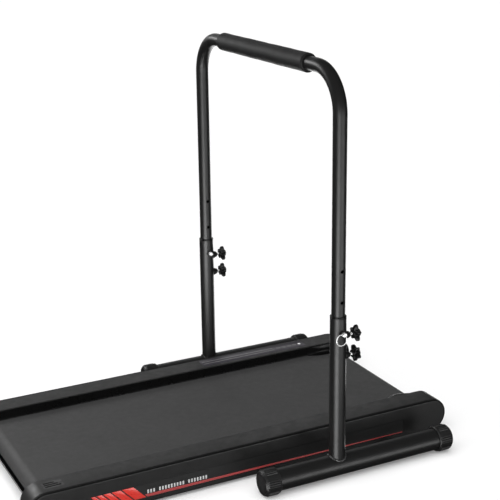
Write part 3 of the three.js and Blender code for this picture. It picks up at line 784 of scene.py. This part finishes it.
def accent_ticks(side, sign):
    """Plain ticks in three groups above the line, where such a machine carries its lettering."""
    low = STRIPE_LOW.z + STRIPE_LINE + TICK_RISE
    x = STRIPE_FRONT + STRIPE_GAP
    shapes = []
    for count in TICK_GROUPS:
        for _ in range(count):
            outline = rectangle((x, x + TICK_SIZE[0]), (low, low + TICK_SIZE[1]))
            shapes.append(inlay(outline, sign, TICK_THICK))
            x += TICK_PITCH
        x += TICK_PITCH
    piece(f"accent_ticks_{side}", gather(shapes), "tick")


GUARD_OUTER = RAIL_INNER - CLEARANCE
GUARD_INNER = RAIL_INNER - 0.005
GUARD_TOP = DECK_TOP - PLASTIC_WALL - 0.0002
GUARD_FOOT = 0.0669
GUARD_REACH = 0.0155  # from the rail to the lip's edge over the belt
GUARD_END = 0.016  # past the rollers' axes
GUARD_STEPS = 150
AXLE_HOLE = 0.009
LOBE_X = 0.452
LOBE_LENGTH = 0.050
LOBE_REACH = 0.015  # the lobe's growth: over the belt, at the crest and upwards
LOBE_CREST = 0.0215
LOBE_RISE = 0.0115


def guard_swell(x):
    """How far the guard swells over the belt at a station, from 0 to 1."""
    share = max(-1.0, min(1.0, (x - LOBE_X) / LOBE_LENGTH))
    return math.cos(share * math.pi / 2) ** 0.8


def guard_section(x, sign):
    """(y, z) outline of a guard at a station: a plate with a lip that slopes down to the belt."""
    swell = guard_swell(x)
    foot = RAIL_INNER - GUARD_REACH - swell * LOBE_REACH
    crest = RAIL_INNER - 0.003 - swell * LOBE_CREST
    shoulder = GUARD_FOOT + 0.003 + swell * LOBE_RISE
    points = [(GUARD_OUTER, GUARD_FOOT), (foot, GUARD_FOOT), (foot + 0.001 * (1 - swell), shoulder)]
    points += [(crest, GUARD_TOP - 0.0012 - swell * 0.0010), (GUARD_INNER, GUARD_TOP)]
    points.append((GUARD_OUTER, GUARD_TOP))
    return [(sign * y, z) for y, z in fillet(points, [0, 0.001, 0.004, 0.006, 0.003, 0], closed=True)]


def axle_hole(end_sign):
    centre, half = Vector((end_sign * ROLLER_X, 0, ROLLER_Z)), Y * 0.21
    return rod(centre - half, centre + half, AXLE_HOLE)


def belt_guard(side, sign):
    """A slot-shaped plate inside the rail, with a lip that swells into a lobe over the front roller."""
    reach = ROLLER_X + GUARD_END
    places = [-reach + 2 * reach * i / GUARD_STEPS for i in range(GUARD_STEPS + 1)]
    strip = [[Vector((x, y, z)) for y, z in guard_section(x, sign)] for x in places]
    outline = slot_points(END_RADIUS - PLASTIC_WALL - 0.0002, END_X, END_Z)
    plate = skin([[point + Y * (sign * y) for point, _ in outline] for y in (GUARD_OUTER, GUARD_INNER)])
    holes = [axle_hole(end_sign) for end_sign in ENDS.values()]
    piece(f"belt_guard_{side}_shell", plate, "guard",
          replaces=[f"belt_guard_{side}"], joins=[skin(strip)], cuts=holes)


# ---- Deck: belt and rollers ----

BELT_THICKNESS = 0.002
ROLLER_WALL = 0.0025
ROLLER_DISC = 0.012
ROLLER_SUNK = 0.0015
ROLLER_BORES = {"rear": 0.0129, "front": 0.0085}


def walking_belt():
    half, thick = BELT_HIGH.y, BELT_THICKNESS
    corners = [(-half, -thick), (-half, 0), (half, 0), (half, -thick)]
    section = fillet(corners, [0.0003, 0.0012, 0.0012, 0.0003], closed=True)
    stations = [(point, Y, out) for point, out in slot_points(BELT_RADIUS, ROLLER_X, ROLLER_Z)]
    piece("walking_belt_loop", swept(stations, section, loop=True), "belt", replaces=["walking_belt"])


def roller(end, sign):
    """A crowned tube with chamfered ends and sunk end discs."""
    half, bore, inner = ROLLER_HALF, ROLLER_BORES[end], ROLLER_RADIUS - ROLLER_WALL
    sunk, disc = half - ROLLER_SUNK, ROLLER_DISC
    shoulder, chamfer = ROLLER_RADIUS - 0.0003, ROLLER_RADIUS - 0.0008
    profile = [(bore, -sunk), (inner, -sunk), (inner, -half), (chamfer, -half), (shoulder, 0.0012 - half)]
    profile += [(ROLLER_RADIUS, -half / 2), (ROLLER_RADIUS, half / 2)]
    profile += [(shoulder, half - 0.0012), (chamfer, half), (inner, half), (inner, sunk), (bore, sunk)]
    profile += [(bore, sunk - disc), (inner, sunk - disc), (inner, disc - sunk), (bore, disc - sunk)]
    centre = Vector((sign * ROLLER_X, 0, ROLLER_Z))
    node, drum = f"{end}_roller", turned(profile, centre, Y, closed=True)
    piece(f"{node}_drum", drum, "roller", node, replaces=[node])


# ---- Deck: controls ----


def slab(low, high, corner, edge):
    """A flat plate with rounded corners, from its lowest and highest corners."""
    outline = fillet(rectangle((low.x, high.x), (low.y, high.y)), corner, closed=True, steps=5)
    return prism(outline, Z * low.z, X, Y, high.z - low.z, edge)


def ring_mark(centre, radius, width, z, thick):
    profile = rectangle((radius - width, radius), (0, thick))
    return turned(profile, Vector((*centre, z)), Z, sides=28, closed=True)


def bar_mark(x, y, z, thick):
    return block((x[0], y[0], z), (x[1], y[1], z + thick))


PRINT_THICK = 0.0002
LIGHT_BAR = (0.006, 0.222)  # start and end, measured from the panel's rear end
BUTTONS = 4
BUTTON_START = 0.238
BUTTON_PITCH = 0.017
DOT_RADIUS = 0.0042


def button_mark(x, y, z, plus):
    """A ring with a minus in it, or a plus."""
    long, slim = 0.0025, 0.0006
    marks = [ring_mark((x, y), 0.0055, 0.0012, z, PRINT_THICK)]
    marks.append(bar_mark((x - long, x + long), (y - slim, y + slim), z, PRINT_THICK))
    if plus:
        marks.append(bar_mark((x - slim, x + slim), (y - long, y + long), z, PRINT_THICK))
    return marks


def touch_panel():
    """A smoked strip with two light bars, a row of plain button marks and a white dot."""
    glass = slab(SCREEN_LOW, SCREEN_HIGH, 0.004, 0.0002)
    piece("touch_panel_glass", glass, "screen", replaces=["touch_panel"])
    top, thick = SCREEN_HIGH.z - 0.00005, PRINT_THICK
    centre_y = (SCREEN_LOW.y + SCREEN_HIGH.y) / 2
    start, end = (SCREEN_LOW.x + offset for offset in LIGHT_BAR)
    marks = [
        bar_mark((start, end), (y - 0.0013, y + 0.0013), top, thick)
        for y in (centre_y - 0.007, centre_y + 0.006)
    ]
    for step in range(BUTTONS):
        x = SCREEN_LOW.x + BUTTON_START + step * BUTTON_PITCH
        marks += button_mark(x, centre_y, top, plus=step % 2)
    piece("touch_panel_marks", gather(marks), "print")
    dot = [(0, 0), (DOT_RADIUS, 0), (DOT_RADIUS, thick), (0, thick * 1.5)]
    centre = Vector((SCREEN_HIGH.x - 0.013, centre_y, top))
    piece("touch_panel_lamp", turned(dot, centre, Z, sides=28), "white")


LABEL_X = -0.478
LABEL_SIZE = (0.046, 0.030)
LABEL_ROWS = 3
LABEL_PITCH = 0.0080
LABEL_BAR = 0.0045


def rail_label():
    """A plain label of bars on the near rail's rear end."""
    middle_y = -(COVER_INNER + RAIL_EDGE) / 2
    half_x, half_y = LABEL_SIZE[0] / 2, LABEL_SIZE[1] / 2
    low = Vector((LABEL_X - half_x, middle_y - half_y, DECK_TOP - 0.0001))
    high = Vector((LABEL_X + half_x, middle_y + half_y, DECK_TOP + 0.00015))
    piece("rail_label_film", slab(low, high, 0.003, 0.0), "rail")
    bars = []
    for row in range(LABEL_ROWS):
        y = low.y + LABEL_BAR + row * LABEL_PITCH
        span = (low.x + 0.004, high.x - 0.005 - row * 0.006)
        bars.append(bar_mark(span, (y, y + LABEL_BAR), high.z - 0.00005, 0.0001))
    piece("rail_label_bars", gather(bars), "print_dark")


# ---- Handrail: tubes ----

HOLE_MARGIN = 0.009
BEND_STEPS = 28


def handle_stations():
    """The U of the handle, with close rings round the lock holes so that cuts stay local."""
    straight = [TUBE_LOW.z]
    for height in HOLE_HEIGHTS:
        straight += [height - HOLE_MARGIN, height + HOLE_MARGIN]
    path = [(-UPRIGHT_Y, z) for z in straight]
    for side in (-1, 1):
        for i in range(BEND_STEPS + 1):
            swing = math.pi / 2 * (i if side < 0 else BEND_STEPS - i) / BEND_STEPS
            path.append((side * (UPRIGHT_Y - BEND_RADIUS + BEND_RADIUS * math.cos(swing)),
                         BAR_Z - BEND_RADIUS + BEND_RADIUS * math.sin(swing)))
    path += [(UPRIGHT_Y, z) for z in reversed(straight)]
    points = [Vector((UPRIGHT_X, y, z)) for y, z in path]
    stations = []
    for i, point in enumerate(points):
        before, after = points[max(i - 1, 0)], points[min(i + 1, len(points) - 1)]
        tangent = (after - before).normalized()
        stations.append((point, X, tangent.cross(X)))
    return stations


def handle_frame():
    holes = [
        rod(Vector((UPRIGHT_X, y - 0.02, z)), Vector((UPRIGHT_X, y + 0.02, z)), HOLE_RADIUS, 24)
        for y in (-UPRIGHT_Y, UPRIGHT_Y) for z in HOLE_HEIGHTS
    ]
    return piece("handle_tube", pipe(handle_stations(), TUBE_RADIUS, TUBE_WALL), "tube", "handle",
                 replaces=["handle_frame"], cuts=holes)


def handle_grip():
    """A foam sleeve with a slightly uneven, hand-worn surface."""
    half = GRIP_HIGH.y
    radius = (GRIP_HIGH.z - GRIP_LOW.z) / 2
    bore = TUBE_RADIUS + 0.0002
    inner_end = [(bore, -half), (radius - 0.003, -half), (radius, 0.004 - half)]
    steps = 60
    body = [(radius, (-1 + 2 * i / steps) * (half - 0.006)) for i in range(steps + 1)]
    other_end = [(radius, half - 0.004), (radius - 0.003, half), (bore, half)]

    def hand_worn(r, t, angle):
        slack = 0.00018 * math.sin(41 * t + 2 * angle) + 0.00014 * math.sin(97 * t - angle)
        return r + (slack if r > radius - 0.001 else 0)

    profile = fillet(inner_end, [0, 0.002, 0.003]) + body + fillet(other_end, [0, 0.002, 0])
    foam = turned(profile, Vector((UPRIGHT_X, 0, BAR_Z)), Y, 72, True, hand_worn)
    grip = piece("handle_grip_foam", foam, "foam", "handle", replaces=["handle_grip"])


def upright(sign, z=0.0):
    return Vector((UPRIGHT_X, sign * UPRIGHT_Y, z))


SLEEVE_LOW = 0.045
SLEEVE_CHAMFER = 0.0006
BOSS_MARGIN = 0.014
BOSS_ROOT = 0.012
BOSS_TIP = 0.030
PIN_BOSS_RADIUS = 0.0075
PIN_BOSS_TIP = 0.0245
KNOB_HOLE = 0.0037
PIN_HOLE = 0.0045


def sleeve_profile():
    """(radius, height) of the plain sleeve, with rings beside the bosses so that joints stay local."""
    levels = [SLEEVE_LOW, SLEEVE_LOW + 0.025]
    for z in (*KNOB_HEIGHTS.values(), PIN_Z):
        levels += [z - BOSS_MARGIN, z + BOSS_MARGIN]
    profile = [(0, SLEEVE_LOW)] + [(SLEEVE_RADIUS, z) for z in sorted(levels)]
    profile += [(SLEEVE_RADIUS, SLEEVE_TOP - SLEEVE_CHAMFER), (SLEEVE_RADIUS - SLEEVE_CHAMFER, SLEEVE_TOP)]
    return profile + [(0, SLEEVE_TOP)]


def sleeve_bosses(sign):
    """A cone for each knob's stem and a button for the lock pin."""
    cone = [(0, BOSS_ROOT), (0.0112, BOSS_ROOT), (0.0100, 0.0205), (0.0066, BOSS_TIP), (0, BOSS_TIP)]
    cone = fillet(cone, [0, 0, 0.002, 0.0012, 0])
    button = fillet(rectangle((0, PIN_BOSS_RADIUS), (BOSS_ROOT, PIN_BOSS_TIP)), [0, 0, 0.0012, 0])
    bosses = [turned(cone, upright(sign, z), X, 40) for z in KNOB_HEIGHTS.values()]
    return bosses + [turned(button, upright(sign, PIN_Z), -Y, 40)]


def sleeve_holes(sign):
    """The bore, the cope round the foot tube, and a hole for each stem and for the pin."""
    foot, reach = Vector((0, sign * UPRIGHT_Y, FOOT_Z)), 0.04
    holes = [rod(upright(sign), upright(sign, SLEEVE_TOP + 0.01), SLEEVE_BORE, 64)]
    holes.append(rod(foot, foot + X * 0.4, FOOT_RADIUS + CLEARANCE, 96))
    for z in KNOB_HEIGHTS.values():
        holes.append(rod(upright(sign, z), upright(sign, z) + X * reach, KNOB_HOLE, 20))
    return holes + [rod(upright(sign, PIN_Z), upright(sign, PIN_Z) - Y * reach, PIN_HOLE, 20)]


def sleeve(side, sign):
    """A coped tube with a boss for each knob and one for the lock pin."""
    return piece(f"sleeve_{side}_tube", turned(sleeve_profile(), upright(sign), Z, 72), "tube",
                 replaces=[f"sleeve_{side}"], joins=sleeve_bosses(sign), cuts=sleeve_holes(sign))


WELD_RADIUS = 0.0026
WELD_STEPS = 240


def weld_bead(side, sign):
    """A rippled bead along the line where the sleeve meets the foot tube."""
    radius = SLEEVE_RADIUS + 0.0009
    rings = []
    for step in range(WELD_STEPS):
        angle = math.tau * step / WELD_STEPS
        ripple = WELD_RADIUS * (1 + 0.12 * math.sin(angle * 46) + 0.06 * math.sin(angle * 17 + 1.3))
        out = X * math.cos(angle) + Y * math.sin(angle)
        drop = radius * math.sin(angle)
        rise = math.sqrt((FOOT_RADIUS + 0.0006) ** 2 - drop * drop)
        at = upright(sign, FOOT_Z + rise) + out * radius
        rings.append([at + out * u + Z * v for u, v in circle(ripple, 10)])
    piece(f"weld_{side}", skin(rings, loop=True), "weld")


def sleeve_bushing(side, sign):
    """A collar between sleeve and handle, with a rounded flange."""
    low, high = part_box(f"sleeve_bushing_{side}")
    bore, flange = TUBE_RADIUS + 0.00025, SLEEVE_RADIUS + 0.0001
    skirt = SLEEVE_BORE - 0.00035
    rim = SLEEVE_TOP + CLEARANCE
    outline = [(bore, low.z), (skirt, low.z), (skirt, rim), (flange, rim)]
    outline += [(flange, high.z - 0.0004), (bore, high.z)]
    profile = fillet(outline, [0, 0, 0, 0.0005, 0.0018, 0.0006], closed=True)
    collar = turned(profile, upright(sign), Z, 72, closed=True)
    piece(f"sleeve_bushing_{side}_collar", collar, "knob", replaces=[f"sleeve_bushing_{side}"])


def foot_tube(side, sign):
    places = [FOOT_LOW.x, UPRIGHT_X - 0.04, UPRIGHT_X + 0.04, FOOT_HIGH.x]
    stations = [(Vector((x, sign * UPRIGHT_Y, FOOT_Z)), Y, Z) for x in places]
    tube = pipe(stations, FOOT_RADIUS, FOOT_WALL, 96)
    piece(f"foot_tube_{side}_tube", tube, "tube", replaces=[f"foot_tube_{side}"])


RIB_GROUPS = 6
RIBS_IN_GROUP = 4
RIB_PITCH = math.radians(9)
RIB_HEIGHT = 0.0016
RIB_FADE = 0.002
CAP_FLOOR = 0.008
CAP_STEPS = 16
# (radius, depth below the end) across a cap's rounded rim, face and groove
CAP_FACE = (
    (CAP_RADIUS - 0.0010, 0.0025), (CAP_RADIUS - 0.0030, 0.0006), (CAP_RADIUS - 0.0050, 0),
    (0.0262, 0), (0.0255, 0.0012), (0.0238, 0.0012), (0.0230, 0), (0, 0),
)


def cap_radius(radius, distance, angle, length):
    """The cap's wall with groups of ribs that run along it and fade out before both ends."""
    if radius < FOOT_RADIUS + 0.003:
        return radius
    span = math.tau / RIB_GROUPS
    phase = (angle + span / 2) % span - span / 2
    inside = abs(phase) < RIB_PITCH * RIBS_IN_GROUP / 2
    rib = 0.5 - 0.5 * math.cos(math.tau * phase / RIB_PITCH) if inside else 0.0
    mouth, end = (distance - 0.003) / RIB_FADE, (length - 0.004 - distance) / RIB_FADE
    fade = min(1.0, max(0.0, mouth), max(0.0, end))
    return radius - RIB_HEIGHT * (1 - min(1.0, rib * 1.5) * fade)


def foot_cap(end, end_sign, side, sign):
    """A ribbed rubber cup over a foot tube's end, with a groove in its face."""
    low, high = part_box(f"foot_cap_{end}_{side}")
    length = high.x - low.x
    bore = FOOT_RADIUS + CLEARANCE
    mouth = Vector((high.x if end_sign < 0 else low.x, sign * UPRIGHT_Y, FOOT_Z))
    wall = [(CAP_RADIUS, 0.0015 + i * (length - 0.0065) / CAP_STEPS) for i in range(CAP_STEPS + 1)]
    profile = [(0, length - CAP_FLOOR), (bore, length - CAP_FLOOR), (bore, 0.0008), (bore + 0.0008, 0)]
    profile += [(CAP_RADIUS - 0.0015, 0)] + wall + [(radius, length - depth) for radius, depth in CAP_FACE]
    bm = turned(profile, mouth, X * end_sign, 288, shape=lambda r, t, a: cap_radius(r, t, a, length))
    piece(f"foot_cap_{end}_{side}_cup", bm, "rubber", replaces=[f"foot_cap_{end}_{side}"])


# ---- Handrail: knobs, pins and rings ----

KNOB_LOBES = 5
KNOB_RADIUS = 0.020
KNOB_WAIST = 0.0092
HUB_RADIUS = 0.009
KNOB_MIDDLE = 0.0467
KNOB_HALF = 0.0058
KNOB_TAPER = 0.24
KNOB_POINT = 1.15  # higher makes slimmer lobes
KNOB_STEPS = 12
KNOB_SIDES = 120
# (distance from the upright's axis, share of the hub's radius)
HUB_STAGES = ((0.0370, 0.86), (0.0374, 1.0), (0.0402, 1.0))
CROWN_STAGES = (
    (0.0530, 1.0), (0.0552, 0.98), (0.0560, 0.88), (0.0560, 0.62), (0.0556, 0.56), (0.0556, 0.3),
)


def star_radius(angle):
    swell = ((1 + math.cos(KNOB_LOBES * angle)) / 2) ** KNOB_POINT
    return KNOB_WAIST + (KNOB_RADIUS - KNOB_WAIST) * swell


def knob_stages():
    """(distance from the upright's axis, lobed or round, scale) from the hub to the crown."""
    lobes = []
    for step in range(KNOB_STEPS + 1):
        t = 2 * step / KNOB_STEPS - 1
        lobes.append((KNOB_MIDDLE + t * KNOB_HALF, True, 1 - KNOB_TAPER * abs(t) ** 5))
    hub, crown = ([(at, False, scale) for at, scale in stages] for stages in (HUB_STAGES, CROWN_STAGES))
    return hub + lobes + crown


def knob_grip(name, centre, turn):
    """Five lobes that taper to rounded tips, between a hub and a crown."""
    rings = []
    for offset, lobed, scale in knob_stages():
        ring = []
        for i in range(KNOB_SIDES):
            angle = math.tau * i / KNOB_SIDES
            radius = scale * (star_radius(angle) if lobed else HUB_RADIUS)
            spoke = Y * math.sin(angle + turn) + Z * math.cos(angle + turn)
            ring.append(centre + X * offset + spoke * radius)
        rings.append(ring)
    piece(f"{name}_grip", skin(rings), "knob", name, replaces=[name])


STEM_END = 0.0372
STEM_TIP = 0.0024
THREAD_ROOT = 0.0027
THREAD_CREST = 0.0032
THREAD_PITCH = 0.00125
# (radius, share of the pitch) over one turn
THREAD_TURN = ((THREAD_ROOT, 0.0), (THREAD_CREST, 0.4), (THREAD_CREST, 0.55), (THREAD_ROOT, 0.95))


def star_knob(name, level, side, sign):
    """A lobed grip on its own threaded stem."""
    centre = upright(sign, KNOB_HEIGHTS[level])
    knob_grip(name, centre, math.radians(KNOB_TURNS[f"{level}_{side}"]))
    start = TUBE_RADIUS + 2 * CLEARANCE
    thread = [(0, start), (STEM_TIP, start)]
    for i in range(int((STEM_END - start) / THREAD_PITCH)):
        at = start + 0.0004 + i * THREAD_PITCH
        thread += [(radius, at + THREAD_PITCH * share) for radius, share in THREAD_TURN]
    thread.append((0, STEM_END))
    piece(f"{name}_stem", turned(thread, centre, X, 28), "steel", name)


def ring_hole():
    """The cross hole in the near pin's head, along the ring's swing axis."""
    joint = JOINTS["pull_ring_near_swing"]
    axis, pivot = Vector(joint["axis"]), Vector(joint["pos_m"])
    return rod(pivot - axis * 0.01, pivot + axis * 0.01, 0.0025, 24)


PIN_RADIUS = 0.004
PIN_HEAD_RADIUS = 0.0052


def lock_pin(side, sign):
    """A turned pin with a groove round its head; the near one's head has a hole for the ring."""
    node = f"lock_pin_{side}"
    reach = UPRIGHT_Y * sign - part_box(node)[0].y
    nose, head = TUBE_RADIUS + 2 * CLEARANCE, PIN_BOSS_TIP + CLEARANCE
    outline = [(0, nose), (0.0034, nose), (PIN_RADIUS, nose + 0.0010), (PIN_RADIUS, head)]
    outline += [(PIN_HEAD_RADIUS, head), (PIN_HEAD_RADIUS, head + 0.0015), (0.0046, head + 0.0019)]
    outline += [(PIN_HEAD_RADIUS, head + 0.0024), (PIN_HEAD_RADIUS, reach - 0.001)]
    outline += [(PIN_RADIUS, reach), (0, reach)]
    profile = fillet(outline, [0, 0, 0, 0, 0.0003, 0.0002, 0.0002, 0.0002, 0.0008, 0.0005, 0])
    holes = [ring_hole()] if side == "near" else []
    pin = turned(profile, upright(sign, PIN_Z), -Y, 48)
    piece(f"{node}_turned", pin, "steel", node, replaces=[node], cuts=holes)


def pull_ring():
    low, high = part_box("pull_ring_near")
    wire = (high.y - low.y) / 2
    radius = (high.x - low.x) / 2 - wire
    profile = [(radius + u, v) for u, v in circle(wire, 14)]
    ring = turned(profile, (low + high) / 2, Y, 72, closed=True)
    piece("pull_ring_near_wire", ring, "steel", "pull_ring_near", replaces=["pull_ring_near"])


# ---- CAD pieces that stay ----

# Each kept node or group of nodes: its look, the rounding of its edges and the group's endings.
KEPT = {
    "running_board": ("board", 0.0006), "bottom_pan": ("panel", 0.0006),
    "control_box": ("electrical", 0.0015), "vibration_motor": ("frame", 0.0006),
    "eccentric_weight": ("steel", 0.0004), "drum_motor_stator": ("frame", 0.0005),
    "rear_axle": ("steel", 0.0005), "power_inlet": ("electrical", 0.0003),
    "power_switch": ("switch", 0.0004),
}
KEPT_GROUPS = {
    "side_beam": ("frame", 0.0010, SIDES), "cross_member": ("frame", 0.0010, ENDS),
    "board_cushion": ("rubber", 0.0010, ENDS), "cross_strap": ("frame", 0.0008, ENDS),
    "rear_bearing": ("steel", 0.0004, SIDES), "wheel_bracket": ("frame", 0.0005, SIDES),
    "transport_wheel": ("rubber", 0.0006, SIDES), "deck_foot_rear": ("rubber", 0.0012, SIDES),
    "deck_foot_front": ("rubber", 0.0012, SIDES),
}


def dress(node, look, edge):
    """Keeps a CAD node's shape, rounds its edges and gives it its material."""
    obj = frame["nodes"][node]
    mesh = obj.data
    custom = mesh.attributes.get("custom_normal")
    if custom:
        mesh.attributes.remove(custom)
    mesh.shade_smooth()
    mesh.materials.clear()
    mesh.materials.append(LOOKS[look]["material"])
    weld = obj.modifiers.new("weld", "WELD")
    weld.merge_threshold = 1e-6
    bevel = obj.modifiers.new("bevel", "BEVEL")
    bevel.width = edge
    bevel.segments = 2
    bevel.limit_method = "ANGLE"
    bevel.angle_limit = math.radians(40)
    obj.modifiers.new("normals", "WEIGHTED_NORMAL")


def dress_kept_nodes():
    for node, (look, edge) in KEPT.items():
        dress(node, look, edge)
    for stem, (look, edge, names) in KEPT_GROUPS.items():
        for name in names:
            dress(f"{stem}_{name}", look, edge)


# ---- Build ----

CARD_OFFSET = Vector((-0.29, -0.345, 0))


def light_far_post(lit):
    """A card over the deck that only the given tubes reflect."""
    post = upright(1, 0.20)
    card = add_box("post_card", post + CARD_OFFSET, post, (0.40, 0.22), 1.7, diffuse=False)
    receivers = bpy.data.collections.new("lit_by_card")
    for obj in lit:
        receivers.objects.link(obj)
    card.light_linking.receiver_collection = receivers


def build():
    add_stage()
    dress_kept_nodes()
    walking_belt()
    roller("front", 1)
    roller("rear", -1)
    touch_panel()
    rail_label()
    tubes = [handle_frame()]
    handle_grip()
    for side, sign in SIDES.items():
        rail_cover(side, sign)
        side_panel(side, sign)
        painted_seam_shadow(side, sign)
        accent_band(side, sign)
        accent_stripe(side, sign)
        accent_ticks(side, sign)
        belt_guard(side, sign)
        tubes.append(sleeve(side, sign))
        weld_bead(side, sign)
        sleeve_bushing(side, sign)
        foot_tube(side, sign)
        for end, end_sign in ENDS.items():
            foot_cap(end, end_sign, side, sign)
        for level in KNOB_HEIGHTS:
            star_knob(f"star_knob_{level}_{side}", level, side, sign)
        lock_pin(side, sign)
    pull_ring()
    light_far_post(tubes)


build()
